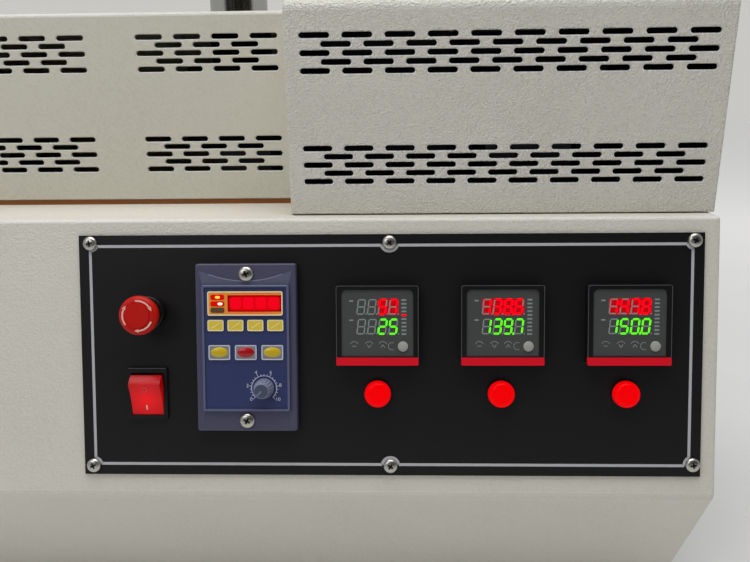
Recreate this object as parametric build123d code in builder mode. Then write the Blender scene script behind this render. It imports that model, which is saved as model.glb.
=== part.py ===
"""Desktop single-screw filament extruder: console cabinet, drive, barrel, hopper and controls.

Millimetres. X runs along the screw to the right, Y to the back, Z up. The origin is on the
floor, under the middle of the machine's outer box.
"""

from build123d import *
from math import asin, atan, cos, degrees, radians, sin, tan
import os

# Cabinet
cabinet_length = 530.0
cabinet_depth = 245.0
cabinet_height = 268.0
cabinet_sheet = 1.5
face_lean = 13.0
face_length = 172.0
undercut_lean = 28.0
top_bend_radius = 2.0
lower_bend_radius = 9.0
side_edge_radius = 2.0
bottom_flange = 14.0
bottom_plate_thickness = 2.0
bottom_plate_inset = 3.0
foot_height = 20.0
foot_radius = 17.0
foot_inset = 32.0
foot_chamfer = 2.0

# Control plate; places on it are measured from its middle, to the right and up
plate_width = 379.0
plate_height = 148.5
plate_thickness = 1.5
plate_side_margin = 10.0
plate_top_margin = 9.5
cutout_clearance = 0.3
shaft_clearance = 0.05

# Emergency stop
stop_place = (-146.7, 26.9)
stop_head_radius = 12.6
stop_head_back_radius = 10.2
stop_head_height = 9.0
stop_head_edge = 3.0
stop_head_under_edge = 1.0
stop_cap_radius = 7.0
stop_cap_rise = 0.6
stop_stem_radius = 4.5
stop_stem_depth = 16.0
stop_socket_depth = 4.0
stop_collar_radius = 10.5
stop_collar_height = 6.0
stop_collar_edge = 1.0
stop_travel = 4.0
stop_pressed_gap = 1.2
stop_barrel_radius = 8.0
stop_barrel_depth = 26.0
stop_end_clearance = 1.0

# Power switch
switch_place = (-148.5, -23.3)
switch_width = 24.8
switch_height = 32.0
switch_corner_radius = 1.5
switch_rim_rise = 1.8
switch_wall = 0.9
switch_body_depth = 21.0
switch_cavity_depth = 10.0
rocker_width = 19.2
rocker_radius = 13.9
rocker_half_angle = 47.8
rocker_skirt_rise = 3.0
rocker_dip = 1.0
rocker_pivot_depth = 4.2
rocker_rest_angle = 19.0
rocker_clearance = 0.4
rocker_hub_radius = 3.6
rocker_axle_radius = 1.5
rocker_axle_overhang = 1.2

# Motor speed controller
speed_place = (-85.8, 5.8)
speed_width = 61.0
speed_height = 102.0
speed_thickness = 6.0
speed_corner_radius = 1.5
speed_edge_radius = 1.0
speed_frame_width = 52.8
speed_frame_height = 76.8
speed_frame_rise = 1.8
speed_frame_border = 1.5
speed_frame_corner = 1.0
speed_label_recess = 0.6
speed_label_thickness = 0.5
speed_rear_width = 52.0
speed_rear_height = 94.0
speed_rear_depth = 30.0
display_width = 45.4
display_height = 14.6
display_corner = 1.0
display_rise = 1.0
display_up = 27.2
display_window_width = 32.6
display_window_height = 10.0
display_window_shift = 5.8
display_window_thickness = 0.5
display_window_recess = 0.4
key_rise = 0.6
key_corner = 0.8
small_key_count = 4
small_key = (9.7, 6.8)
small_key_pitch = 12.05
small_key_up = 13.9
large_key_count = 3
large_key = (13.1, 9.0)
large_key_pitch = 16.05
large_key_up = -2.5
dial_place = (10.7, -24.3)
knob_skirt_radius = 6.1
knob_skirt_height = 1.6
knob_base_radius = 5.8
knob_face_radius = 4.4
knob_height = 9.0
knob_gap = 0.4
knob_shaft_radius = 3.0
knob_shaft_depth = 12.0
knob_end_clearance = 1.0
knob_grip_count = 18
knob_grip_radius = 0.5

# Temperature controllers
zones = ("feed", "barrel", "die")
controller_pitch = 75.0
controller_first = -6.5
controller_up = 19.3
controller_width = 49.4
controller_height = 48.0
controller_rise = 7.0
controller_corner_radius = 1.2
controller_body = 44.6
controller_body_depth = 62.0
screen_width = 43.2
screen_height = 40.2
screen_top_margin = 2.4
screen_thickness = 1.4
screen_recess = 0.7
screen_top_corner = 3.0
strip_height = 4.8
strip_depth = 2.0
strip_rise = 0.4
strip_corner = 0.8

# Indicator lamps
lamp_up = -23.1
lamp_radius = 8.0
lamp_bezel_radius = 8.7
lamp_bezel_height = 1.0
lamp_edge_radius = 3.2
lamp_height = 6.0
lamp_stem_radius = 5.0
lamp_stem_depth = 26.0

# Covers over the drive and the barrel
cover_sheet = 1.2
cover_gap = 0.8
cover_edge_radius = 1.5
drive_cover_length = 261.0
drive_cover_overhang = 1.1
drive_cover_front = 11.2
drive_cover_depth = 222.6
drive_cover_height = 127.0
drive_cover_bend = 7.0
barrel_cover_ledge = 20.2
barrel_cover_front = 57.0
barrel_cover_height = 124.4
barrel_cover_bend = 2.2
insulation_thickness = 3.5
insulation_front_inset = 0.5

slot_length = 17.8
slot_height = 3.3
slot_pitch = 25.0
slot_row_pitch = 5.0
slot_rows = 5
slot_band_pitch = 65.0
slot_top_row_height = 106.0
barrel_slot_raise = 3.2
drive_slots_per_row = 10
barrel_slots_per_row = 4
barrel_slots_margin = 19.0
barrel_group_pitch = 126.8
barrel_groups = 2

# Screw line
axis_height = 63.0
bore_radius = 10.0
barrel_radius = 19.0
barrel_overhang = 3.2
barrel_flange_radius = 27.0
barrel_flange_thickness = 9.0
feed_block_length = 64.0
feed_block_width = 66.0
feed_block_half_height = 30.0
feed_block_edge = 4.0
feed_throat_radius = 12.0
pedestal_length = 44.0
pedestal_width = 50.0
fit_clearance = 0.3
wall_pass_clearance = 3.0
heater_count = 2
heater_length = 34.0
heater_thickness = 4.5
support_thickness = 10.0
support_width = 62.0
support_from_end = 22.0
support_crown = 8.0
die_flange_radius = 32.0
die_flange_thickness = 8.0
die_radius = 25.0
die_length = 40.0
die_chamfer = 2.0
die_heater_length = 26.0
die_heater_start = 8.0
nozzle_radius = 9.0
nozzle_shank = 8.0
nozzle_length = 22.0
nozzle_tip_radius = 3.5
nozzle_hole_radius = 1.0
die_cavity_radius = 6.0
screw_root_radius = 6.5

# Hopper
neck_from_drive_cover = 48.2
neck_radius = 20.5
neck_top_height = 196.0
hopper_sheet = 1.5
hopper_radius = 70.0
hopper_cone_height = 66.0
hopper_side_height = 56.0
hopper_rim_radius = 2.5

# Drive
spacer_radius = 30.0
gearbox_from_wall = 12.0
gearbox_length = 92.0
gearbox_width = 104.0
gearbox_half_height = 50.0
gearbox_edge = 6.0
drive_foot_width = 120.0
motor_radius = 46.0
motor_length = 128.0
motor_cowl_radius = 48.0
motor_cowl_length = 30.0
motor_bell_length = 12.0
motor_rib_count = 16
motor_rib_width = 4.0
motor_rib_depth = 3.5
cradle_length = 60.0
cradle_width = 80.0

# Mains inlet in the back
inlet_width = 50.0
inlet_height = 28.0
inlet_flange = 2.5
inlet_corner_radius = 4.0
inlet_socket_width = 25.0
inlet_socket_height = 17.0
inlet_socket_depth = 18.0
inlet_wall = 2.0
inlet_from_right = 70.0
inlet_above_bottom = 60.0

# Places that follow from the sizes
drive_cover_on_top = drive_cover_length - drive_cover_overhang
barrel_cover_length = cabinet_length - drive_cover_on_top - cover_gap - barrel_cover_ledge
barrel_end = barrel_cover_length + cover_gap + barrel_overhang
nose_reach = barrel_end + die_flange_thickness + die_length + nozzle_length
overall_length = drive_cover_length + nose_reach
drive_cover_right = overall_length / 2
right_x = drive_cover_right - drive_cover_overhang
left_x = right_x - cabinet_length
middle_x = (left_x + right_x) / 2

lean_sin = sin(radians(face_lean))
lean_cos = cos(radians(face_lean))
plate_centre_down = plate_top_margin + plate_height / 2
speed_label_out = speed_thickness + speed_frame_rise - speed_label_recess
dial_down = plate_centre_down - speed_place[1] - dial_place[1]
knob_front = plate_thickness + speed_label_out + knob_gap + knob_height
knob_reach = (dial_down + knob_face_radius) * lean_sin + knob_front * lean_cos
front_y = (knob_reach - cabinet_depth - inlet_flange) / 2
back_y = front_y + cabinet_depth

floor_gap = foot_height + bottom_plate_thickness
top_z = floor_gap + cabinet_height
axis_y = front_y + drive_cover_front + drive_cover_depth / 2
axis_z = top_z + axis_height
drive_cover_left = drive_cover_right - drive_cover_length
barrel_cover_right = drive_cover_left - cover_gap
barrel_cover_left = barrel_cover_right - barrel_cover_length
barrel_cover_depth = 2 * (axis_y - front_y - barrel_cover_front)
insulation_top = top_z + insulation_thickness
neck_x = drive_cover_left - neck_from_drive_cover
block_right = neck_x + feed_block_length / 2
block_left = neck_x - feed_block_length / 2
block_top = axis_z + feed_block_half_height
barrel_tip = drive_cover_left - barrel_end
support_x = barrel_cover_left + support_from_end
gearbox_left = drive_cover_left + gearbox_from_wall
gearbox_right = gearbox_left + gearbox_length
lamp_places = [controller_first + index * controller_pitch for index in range(len(zones))]

face_plane = Plane(origin=(0, front_y, top_z), x_dir=(1, 0, 0), z_dir=(0, -lean_cos, lean_sin))
plate_centre_x = right_x - plate_side_margin - plate_width / 2
dial_spot = (speed_place[0] + dial_place[0], speed_place[1] + dial_place[1])


def on_plate(across, up, out=0.0):
    """Plane parallel to the control plate, at a place on the plate's front."""
    spot = (plate_centre_x + across, up - plate_centre_down, plate_thickness + out)
    origin = face_plane.from_local_coords(spot)
    return Plane(origin=origin, x_dir=face_plane.x_dir, z_dir=face_plane.z_dir)


def beside_plate(across, up, shift=0.0):
    """Plane square to the plate, facing right: local x runs up the plate, local y out of it."""
    origin = on_plate(across + shift, up).origin
    return Plane(origin=origin, x_dir=face_plane.y_dir, z_dir=face_plane.x_dir)


def out_axis(across, up):
    """Axis out of the plate at a place on it."""
    return Axis(on_plate(across, up).origin, face_plane.z_dir)


def across_screw(x):
    """Plane square to the screw line at x, facing right: local x runs back, local y up."""
    return Plane(origin=(x, axis_y, axis_z), x_dir=(0, 1, 0), z_dir=(1, 0, 0))


def finish(builder, name):
    """Names a finished piece and writes it."""
    builder.part.label = name
    export_step(builder.part, f"parts/{name}.step")


os.makedirs("parts", exist_ok=True)

# Openings for the instruments, cut through the control plate and the cabinet's face behind it
switch_body_width = rocker_width + 2 * (rocker_clearance + switch_wall)
switch_body_height = 2 * (rocker_radius + rocker_clearance + switch_wall)

with BuildSketch() as panel_openings:
    with Locations([(x, controller_up) for x in lamp_places]):
        Rectangle(controller_body + 2 * cutout_clearance, controller_body + 2 * cutout_clearance)
    with Locations([(x, lamp_up) for x in lamp_places]):
        Circle(lamp_stem_radius + cutout_clearance)
    with Locations(stop_place):
        Circle(stop_barrel_radius + cutout_clearance)
    with Locations(switch_place):
        Rectangle(switch_body_width + 2 * cutout_clearance, switch_body_height + 2 * cutout_clearance)
    with Locations(speed_place):
        Rectangle(speed_rear_width + 2 * cutout_clearance, speed_rear_height + 2 * cutout_clearance)

# Cabinet: leaning face, undercut toe and flanged bottom, bent from one sheet
face_foot_y = front_y - face_length * lean_sin
face_foot_z = top_z - face_length * lean_cos
toe_y = face_foot_y + (face_foot_z - floor_gap) * tan(radians(undercut_lean))
bottom_depth = back_y - toe_y
bottom_middle = (middle_x, (toe_y + back_y) / 2)
inlet_x = right_x - inlet_from_right
inlet_z = floor_gap + inlet_above_bottom
inlet_plane = Plane(origin=(inlet_x, back_y, inlet_z), x_dir=(-1, 0, 0), z_dir=(0, 1, 0))
inlet_box_width = inlet_socket_width + 2 * inlet_wall
inlet_box_height = inlet_socket_height + 2 * inlet_wall

with BuildPart() as cabinet_shell:
    with BuildSketch(Plane.YZ.offset(left_x)) as cabinet_side:
        with BuildLine():
            Polyline((front_y, top_z), (face_foot_y, face_foot_z), (toe_y, floor_gap),
                     (back_y, floor_gap), (back_y, top_z), close=True)
        make_face()
        fillet(cabinet_side.vertices().group_by(Axis.X)[0], lower_bend_radius)
        fillet(cabinet_side.vertices().group_by(Axis.Y)[-1], top_bend_radius)
    extrude(amount=cabinet_length)
    fillet(cabinet_shell.faces().filter_by(Axis.X).edges(), side_edge_radius)
    with BuildSketch(Plane.YZ.offset(left_x + cabinet_sheet)):
        add(cabinet_side.sketch_local)
        offset(amount=-cabinet_sheet, mode=Mode.REPLACE)
    extrude(amount=cabinet_length - 2 * cabinet_sheet, mode=Mode.SUBTRACT)
    with BuildSketch(Plane.XY.offset(floor_gap)):
        with Locations(bottom_middle):
            Rectangle(cabinet_length - 2 * bottom_flange, bottom_depth - 2 * bottom_flange)
    extrude(amount=cabinet_sheet, mode=Mode.SUBTRACT)
    with BuildSketch(face_plane):
        with Locations((plate_centre_x, -plate_centre_down)):
            add(panel_openings.sketch_local)
    extrude(amount=-2 * cabinet_sheet, mode=Mode.SUBTRACT)
    with BuildSketch(inlet_plane):
        Rectangle(inlet_box_width + 2 * cutout_clearance, inlet_box_height + 2 * cutout_clearance)
    extrude(amount=-2 * cabinet_sheet, mode=Mode.SUBTRACT)
finish(cabinet_shell, "cabinet_shell")

with BuildPart() as bottom_plate:
    with BuildSketch(Plane.XY.offset(foot_height)):
        with Locations(bottom_middle):
            Rectangle(cabinet_length - 2 * bottom_plate_inset, bottom_depth - 2 * bottom_plate_inset)
    extrude(amount=bottom_plate_thickness)
finish(bottom_plate, "bottom_plate")

with BuildPart() as rubber_feet:
    with BuildSketch():
        with Locations(bottom_middle):
            with GridLocations(cabinet_length - 2 * foot_inset, bottom_depth - 2 * foot_inset, 2, 2):
                Circle(foot_radius)
    extrude(amount=foot_height)
    chamfer(rubber_feet.faces().filter_by(Axis.Z).group_by(Axis.Z)[0].edges(), foot_chamfer)
finish(rubber_feet, "rubber_feet")

with BuildPart() as power_inlet:
    with BuildSketch(inlet_plane):
        RectangleRounded(inlet_width, inlet_height, inlet_corner_radius)
    extrude(amount=inlet_flange)
    with BuildSketch(inlet_plane):
        Rectangle(inlet_box_width, inlet_box_height)
    extrude(amount=-inlet_socket_depth - inlet_wall)
    with BuildSketch(inlet_plane.offset(inlet_flange)):
        Rectangle(inlet_socket_width, inlet_socket_height)
    extrude(amount=-inlet_socket_depth - inlet_flange, mode=Mode.SUBTRACT)
finish(power_inlet, "power_inlet")

# Control plate
with BuildPart() as control_plate:
    with BuildSketch(face_plane):
        with Locations((plate_centre_x, -plate_centre_down)):
            Rectangle(plate_width, plate_height)
            add(panel_openings.sketch_local, mode=Mode.SUBTRACT)
    extrude(amount=plate_thickness)
finish(control_plate, "control_plate")

# Emergency stop: collar and contact barrel stay, the stem slides, the head twists on the stem
head_underside = stop_collar_height + stop_travel + stop_pressed_gap
head_flare = degrees(atan((stop_head_radius - stop_head_back_radius) / stop_head_height))
stem_top = head_underside + stop_socket_depth - shaft_clearance
stop_bore_depth = stop_stem_depth + stop_travel + stop_end_clearance
stop_axis = out_axis(*stop_place)

with BuildPart() as stop_collar:
    with BuildSketch(on_plate(*stop_place)):
        Circle(stop_collar_radius)
    extrude(amount=stop_collar_height)
    fillet(stop_collar.edges().filter_by(GeomType.CIRCLE).sort_by(stop_axis)[-1], stop_collar_edge)
    with BuildSketch(on_plate(*stop_place)):
        Circle(stop_barrel_radius)
    extrude(amount=-stop_barrel_depth)
    with BuildSketch(on_plate(*stop_place, stop_collar_height)):
        Circle(stop_stem_radius + shaft_clearance)
    extrude(amount=-stop_collar_height - stop_bore_depth, mode=Mode.SUBTRACT)
finish(stop_collar, "stop_collar")

with BuildPart() as stop_stem:
    with BuildSketch(on_plate(*stop_place, stem_top)):
        Circle(stop_stem_radius)
    extrude(amount=-stem_top - stop_stem_depth)
finish(stop_stem, "stop_stem")

with BuildPart() as stop_head:
    with BuildSketch(on_plate(*stop_place, head_underside)):
        Circle(stop_head_back_radius)
    extrude(amount=stop_head_height, taper=-head_flare)
    head_rims = stop_head.edges().filter_by(GeomType.CIRCLE).sort_by(stop_axis)
    fillet(head_rims[-1], stop_head_edge)
    fillet(head_rims[0], stop_head_under_edge)
    with BuildSketch(on_plate(*stop_place, head_underside + stop_head_height)):
        Circle(stop_cap_radius)
    extrude(amount=stop_cap_rise)
    with BuildSketch(on_plate(*stop_place, head_underside)):
        Circle(stop_stem_radius + shaft_clearance)
    extrude(amount=stop_socket_depth, mode=Mode.SUBTRACT)
finish(stop_head, "stop_head")

# Power switch: the rocker swings on an axle between the housing's side walls
with BuildPart() as switch_housing:
    with BuildSketch(on_plate(*switch_place)):
        RectangleRounded(switch_width, switch_height, switch_corner_radius)
    extrude(amount=switch_rim_rise)
    with BuildSketch(on_plate(*switch_place)):
        Rectangle(switch_body_width, switch_body_height)
    extrude(amount=-switch_body_depth)
    with BuildSketch(beside_plate(*switch_place, -rocker_width / 2 - rocker_clearance)):
        with Locations((0, -rocker_pivot_depth)):
            Circle(rocker_radius + rocker_clearance)
        with Locations((0, -switch_cavity_depth)):
            Rectangle(2 * switch_body_height, 2 * rocker_radius, align=(Align.CENTER, Align.MAX),
                      mode=Mode.SUBTRACT)
    extrude(amount=rocker_width + 2 * rocker_clearance, mode=Mode.SUBTRACT)
    with BuildSketch(beside_plate(*switch_place, -switch_body_width)):
        with Locations((0, -rocker_pivot_depth)):
            Circle(rocker_axle_radius + shaft_clearance)
    extrude(amount=2 * switch_body_width, mode=Mode.SUBTRACT)
finish(switch_housing, "switch_housing")


def rocker_point(angle, reach=rocker_radius):
    """Point on the rocker's side, by its angle from straight out before the rocker is tilted."""
    turned = radians(angle - rocker_rest_angle)
    return (reach * sin(turned), reach * cos(turned) - rocker_pivot_depth)


rocker_face_rise = rocker_radius * cos(radians(rocker_half_angle)) - rocker_dip
rocker_skirt_angle = 90 - degrees(asin(rocker_skirt_rise / rocker_radius))
rocker_end_angle = (rocker_half_angle + rocker_skirt_angle) / 2
switch_left = beside_plate(*switch_place, -rocker_width / 2)

with BuildPart() as power_rocker:
    with BuildSketch(switch_left):
        with BuildLine():
            ThreePointArc(rocker_point(-rocker_half_angle), rocker_point(0, rocker_face_rise),
                          rocker_point(rocker_half_angle))
            ThreePointArc(rocker_point(rocker_half_angle), rocker_point(rocker_end_angle),
                          rocker_point(rocker_skirt_angle))
            Line(rocker_point(rocker_skirt_angle), rocker_point(-rocker_skirt_angle))
            ThreePointArc(rocker_point(-rocker_skirt_angle), rocker_point(-rocker_end_angle),
                          rocker_point(-rocker_half_angle))
        make_face()
        with Locations((0, -rocker_pivot_depth)):
            Circle(rocker_hub_radius)
    extrude(amount=rocker_width)
    with BuildSketch(switch_left.offset(-rocker_axle_overhang)):
        with Locations((0, -rocker_pivot_depth)):
            Circle(rocker_axle_radius)
    extrude(amount=rocker_width + 2 * rocker_axle_overhang)
finish(power_rocker, "power_rocker")

# Speed controller: moulded front with a raised frame, label, display, film keys and knob
with BuildPart() as speed_body:
    with BuildSketch(on_plate(*speed_place)):
        RectangleRounded(speed_width, speed_height, speed_corner_radius)
    extrude(amount=speed_thickness)
    front_rim = speed_body.faces().sort_by(out_axis(*speed_place))[-1].edges()
    fillet(front_rim, speed_edge_radius)
    with BuildSketch(on_plate(*speed_place, speed_thickness)):
        RectangleRounded(speed_frame_width, speed_frame_height, speed_frame_corner)
    extrude(amount=speed_frame_rise)
    with BuildSketch(on_plate(*speed_place, speed_thickness + speed_frame_rise)):
        Rectangle(speed_frame_width - 2 * speed_frame_border, speed_frame_height - 2 * speed_frame_border)
    extrude(amount=-speed_label_recess - speed_label_thickness, mode=Mode.SUBTRACT)
    with BuildSketch(on_plate(*speed_place)):
        Rectangle(speed_rear_width, speed_rear_height)
    extrude(amount=-speed_rear_depth)
    with BuildSketch(on_plate(*dial_spot, speed_label_out)):
        Circle(knob_shaft_radius + shaft_clearance)
    extrude(amount=-speed_label_out - knob_shaft_depth, mode=Mode.SUBTRACT)
finish(speed_body, "speed_controller_body")

with BuildPart() as speed_label:
    with BuildSketch(on_plate(*speed_place, speed_label_out - speed_label_thickness)):
        Rectangle(speed_frame_width - 2 * speed_frame_border, speed_frame_height - 2 * speed_frame_border)
        with Locations(dial_place):
            Circle(knob_shaft_radius + fit_clearance, mode=Mode.SUBTRACT)
    extrude(amount=speed_label_thickness)
finish(speed_label, "speed_controller_label")

display_spot = (speed_place[0], speed_place[1] + display_up)
window_spot = (display_spot[0] + display_window_shift, display_spot[1])

with BuildPart() as display_bezel:
    with BuildSketch(on_plate(*display_spot, speed_label_out)):
        RectangleRounded(display_width, display_height, display_corner)
    extrude(amount=display_rise)
    with BuildSketch(on_plate(*window_spot, speed_label_out + display_rise)):
        Rectangle(display_window_width, display_window_height)
    extrude(amount=-display_window_thickness - display_window_recess, mode=Mode.SUBTRACT)
finish(display_bezel, "speed_display_bezel")

with BuildPart() as display_window:
    with BuildSketch(on_plate(*window_spot, speed_label_out + display_rise - display_window_recess)):
        Rectangle(display_window_width, display_window_height)
    extrude(amount=-display_window_thickness)
finish(display_window, "speed_display_window")

with BuildPart() as speed_keys:
    with BuildSketch(on_plate(*speed_place, speed_label_out)):
        with Locations((0, small_key_up)):
            with GridLocations(small_key_pitch, 1, small_key_count, 1):
                RectangleRounded(*small_key, key_corner)
        with Locations((0, large_key_up)):
            with GridLocations(large_key_pitch, 1, large_key_count, 1):
                RectangleRounded(*large_key, key_corner)
    extrude(amount=key_rise)
finish(speed_keys, "speed_controller_keys")

knob_base_out = speed_label_out + knob_gap
knob_taper = degrees(atan((knob_base_radius - knob_face_radius) / (knob_height - knob_skirt_height)))

with BuildPart() as speed_knob:
    with BuildSketch(on_plate(*dial_spot, knob_base_out)):
        Circle(knob_skirt_radius)
    extrude(amount=knob_skirt_height)
    with BuildSketch(on_plate(*dial_spot, knob_base_out + knob_skirt_height)):
        Circle(knob_base_radius)
        with PolarLocations(knob_base_radius, knob_grip_count):
            Circle(knob_grip_radius, mode=Mode.SUBTRACT)
    extrude(amount=knob_height - knob_skirt_height, taper=knob_taper)
    with BuildSketch(on_plate(*dial_spot, knob_base_out)):
        Circle(knob_shaft_radius)
    extrude(amount=-knob_base_out - knob_shaft_depth + knob_end_clearance)
finish(speed_knob, "speed_knob")

# Temperature controllers: case with its body behind the plate, screen and bottom strip
screen_middle_up = controller_height / 2 - screen_top_margin - screen_height / 2
strip_middle_up = (strip_height - controller_height) / 2

with BuildSketch() as screen_outline:
    Rectangle(screen_width, screen_height)
    fillet(screen_outline.vertices().group_by(Axis.Y)[-1], screen_top_corner)

for x, zone in zip(lamp_places, zones):
    with BuildPart() as controller_case:
        with BuildSketch(on_plate(x, controller_up)):
            RectangleRounded(controller_width, controller_height, controller_corner_radius)
        extrude(amount=controller_rise)
        with BuildSketch(on_plate(x, controller_up + screen_middle_up, controller_rise)):
            add(screen_outline.sketch_local)
        extrude(amount=-screen_recess - screen_thickness, mode=Mode.SUBTRACT)
        with BuildSketch(on_plate(x, controller_up + strip_middle_up, controller_rise)):
            Rectangle(controller_width, strip_height)
        extrude(amount=-strip_depth, mode=Mode.SUBTRACT)
        with BuildSketch(on_plate(x, controller_up)):
            Rectangle(controller_body, controller_body)
        extrude(amount=-controller_body_depth)
    finish(controller_case, f"{zone}_controller_case")

    with BuildPart() as controller_screen:
        with BuildSketch(on_plate(x, controller_up + screen_middle_up, controller_rise - screen_recess)):
            add(screen_outline.sketch_local)
        extrude(amount=-screen_thickness)
    finish(controller_screen, f"{zone}_controller_screen")

    with BuildPart() as controller_strip:
        with BuildSketch(on_plate(x, controller_up + strip_middle_up, controller_rise - strip_depth)):
            RectangleRounded(controller_width, strip_height, strip_corner)
        extrude(amount=strip_depth + strip_rise)
    finish(controller_strip, f"{zone}_controller_strip")

    with BuildPart() as lamp:
        with BuildSketch(on_plate(x, lamp_up, lamp_bezel_height)):
            Circle(lamp_radius)
        extrude(amount=lamp_height - lamp_bezel_height)
        fillet(lamp.edges().filter_by(GeomType.CIRCLE).sort_by(out_axis(x, lamp_up))[-1], lamp_edge_radius)
    finish(lamp, f"{zone}_lamp")

with BuildPart() as lamp_bezels:
    with BuildSketch(on_plate(0, lamp_up)):
        with Locations([(x, 0) for x in lamp_places]):
            Circle(lamp_bezel_radius)
    extrude(amount=lamp_bezel_height)
    with BuildSketch(on_plate(0, lamp_up)):
        with Locations([(x, 0) for x in lamp_places]):
            Circle(lamp_stem_radius)
    extrude(amount=-lamp_stem_depth)
finish(lamp_bezels, "lamp_bezels")


def slot_rows_at(rightmost, top_row, count):
    """Middles of a band of slots: full rows, and rows of one less set half a pitch in."""
    middles = []
    for row in range(slot_rows):
        shift = slot_pitch / 2 if row % 2 else 0.0
        for index in range(count - row % 2):
            middles.append((rightmost - shift - index * slot_pitch, top_row - row * slot_row_pitch))
    return middles


def facing_front(y):
    """Upright plane at y that faces the front: local x runs right, local y up."""
    return Plane(origin=(0, y, 0), x_dir=(1, 0, 0), z_dir=(0, -1, 0))


# Drive cover: folded box, open below, with two bands of staggered slots in its front and its back
drive_front_y = front_y + drive_cover_front
drive_bottom = top_z + cover_gap
drive_top = top_z + drive_cover_height
slot_top = top_z + slot_top_row_height
band_tops = (slot_top, slot_top - slot_band_pitch)
drive_cover_middle = (drive_cover_left + drive_cover_right) / 2
drive_cover_middle_z = (drive_bottom + drive_top) / 2
drive_slots_right = drive_cover_middle + (drive_slots_per_row - 1) * slot_pitch / 2
barrel_slots_right = barrel_cover_right - barrel_slots_margin

with BuildPart() as drive_cover:
    with BuildSketch(Plane.YZ.offset(drive_cover_left)) as drive_cover_side:
        with Locations((axis_y, drive_cover_middle_z)):
            Rectangle(drive_cover_depth, drive_top - drive_bottom)
        fillet(drive_cover_side.vertices().group_by(Axis.Y)[-1], drive_cover_bend)
    extrude(amount=drive_cover_length)
    side_edges = drive_cover.faces().filter_by(Axis.X).edges()
    fillet(side_edges.filter_by(Axis.Y, reverse=True) + side_edges.group_by(Axis.Z)[-1], cover_edge_radius)
    with BuildSketch(Plane.YZ.offset(drive_cover_left + cover_sheet)) as drive_cover_inside:
        with Locations((axis_y, drive_cover_middle_z - cover_sheet)):
            Rectangle(drive_cover_depth - 2 * cover_sheet, drive_top - drive_bottom)
        fillet(drive_cover_inside.vertices().group_by(Axis.Y)[-1], drive_cover_bend - cover_sheet)
    extrude(amount=drive_cover_length - 2 * cover_sheet, mode=Mode.SUBTRACT)
    with BuildSketch(across_screw(drive_cover_left)):
        Circle(spacer_radius + wall_pass_clearance)
    extrude(amount=2 * cover_sheet, mode=Mode.SUBTRACT)
    for wall_y in (drive_front_y, drive_front_y + drive_cover_depth - cover_sheet):
        with BuildSketch(facing_front(wall_y - cover_sheet / 2)):
            for band_top in band_tops:
                with Locations(slot_rows_at(drive_slots_right, band_top, drive_slots_per_row)):
                    SlotOverall(slot_length, slot_height)
        extrude(amount=-2 * cover_sheet, mode=Mode.SUBTRACT)
finish(drive_cover, "drive_cover")

# Barrel cover: lower and set back, open to the drive cover, slotted in its front only,
# with the hopper's neck through its top
barrel_front_y = front_y + barrel_cover_front
barrel_cover_top = top_z + barrel_cover_height
barrel_middle_z = (insulation_top + barrel_cover_top) / 2

with BuildPart() as barrel_cover:
    with BuildSketch(Plane.YZ.offset(barrel_cover_left)) as barrel_cover_side:
        with Locations((axis_y, barrel_middle_z)):
            Rectangle(barrel_cover_depth, barrel_cover_top - insulation_top)
        fillet(barrel_cover_side.vertices().group_by(Axis.Y)[-1], barrel_cover_bend)
    extrude(amount=barrel_cover_length)
    with BuildSketch(Plane.YZ.offset(barrel_cover_left + cover_sheet)) as barrel_cover_inside:
        with Locations((axis_y, barrel_middle_z - cover_sheet)):
            Rectangle(barrel_cover_depth - 2 * cover_sheet, barrel_cover_top - insulation_top)
        fillet(barrel_cover_inside.vertices().group_by(Axis.Y)[-1], barrel_cover_bend - cover_sheet)
    extrude(amount=barrel_cover_length, mode=Mode.SUBTRACT)
    with BuildSketch(across_screw(barrel_cover_left)):
        Circle(barrel_radius + wall_pass_clearance)
    extrude(amount=2 * cover_sheet, mode=Mode.SUBTRACT)
    with BuildSketch(Plane.XY.offset(barrel_cover_top)):
        with Locations((neck_x, axis_y)):
            Circle(neck_radius + wall_pass_clearance)
    extrude(amount=-2 * cover_sheet, mode=Mode.SUBTRACT)
    with BuildSketch(facing_front(barrel_front_y - cover_sheet / 2)):
        for group in range(barrel_groups):
            group_right = barrel_slots_right - group * barrel_group_pitch
            for band_top in band_tops:
                raised_top = band_top + barrel_slot_raise
                with Locations(slot_rows_at(group_right, raised_top, barrel_slots_per_row)):
                    SlotOverall(slot_length, slot_height)
    extrude(amount=-2 * cover_sheet, mode=Mode.SUBTRACT)
finish(barrel_cover, "barrel_cover")

with BuildPart() as insulation_plate:
    with BuildSketch(Plane.XY.offset(top_z)):
        with Locations(((barrel_cover_left + barrel_cover_right) / 2, axis_y)):
            Rectangle(barrel_cover_length, barrel_cover_depth - 2 * insulation_front_inset)
    extrude(amount=insulation_thickness)
finish(insulation_plate, "insulation_plate")

# Feed block under the hopper
with BuildPart() as feed_block:
    with BuildSketch(across_screw(block_left)):
        Rectangle(feed_block_width, 2 * feed_block_half_height)
    extrude(amount=feed_block_length)
    fillet(feed_block.edges().filter_by(Axis.X), feed_block_edge)
    with BuildSketch(across_screw(block_left)):
        Circle(bore_radius)
    extrude(amount=feed_block_length, mode=Mode.SUBTRACT)
    with BuildSketch(Plane.XY.offset(block_top)):
        with Locations((neck_x, axis_y)):
            Circle(feed_throat_radius)
    extrude(amount=-feed_block_half_height, mode=Mode.SUBTRACT)
finish(feed_block, "feed_block")

# Barrel with its flange
with BuildPart() as barrel:
    with BuildSketch(across_screw(block_left)):
        Circle(barrel_flange_radius)
    extrude(amount=-barrel_flange_thickness)
    with BuildSketch(across_screw(block_left)):
        Circle(barrel_radius)
    extrude(amount=barrel_tip - block_left)
    with BuildSketch(across_screw(block_left)):
        Circle(bore_radius)
    extrude(amount=barrel_tip - block_left, mode=Mode.SUBTRACT)
finish(barrel, "barrel")

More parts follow.
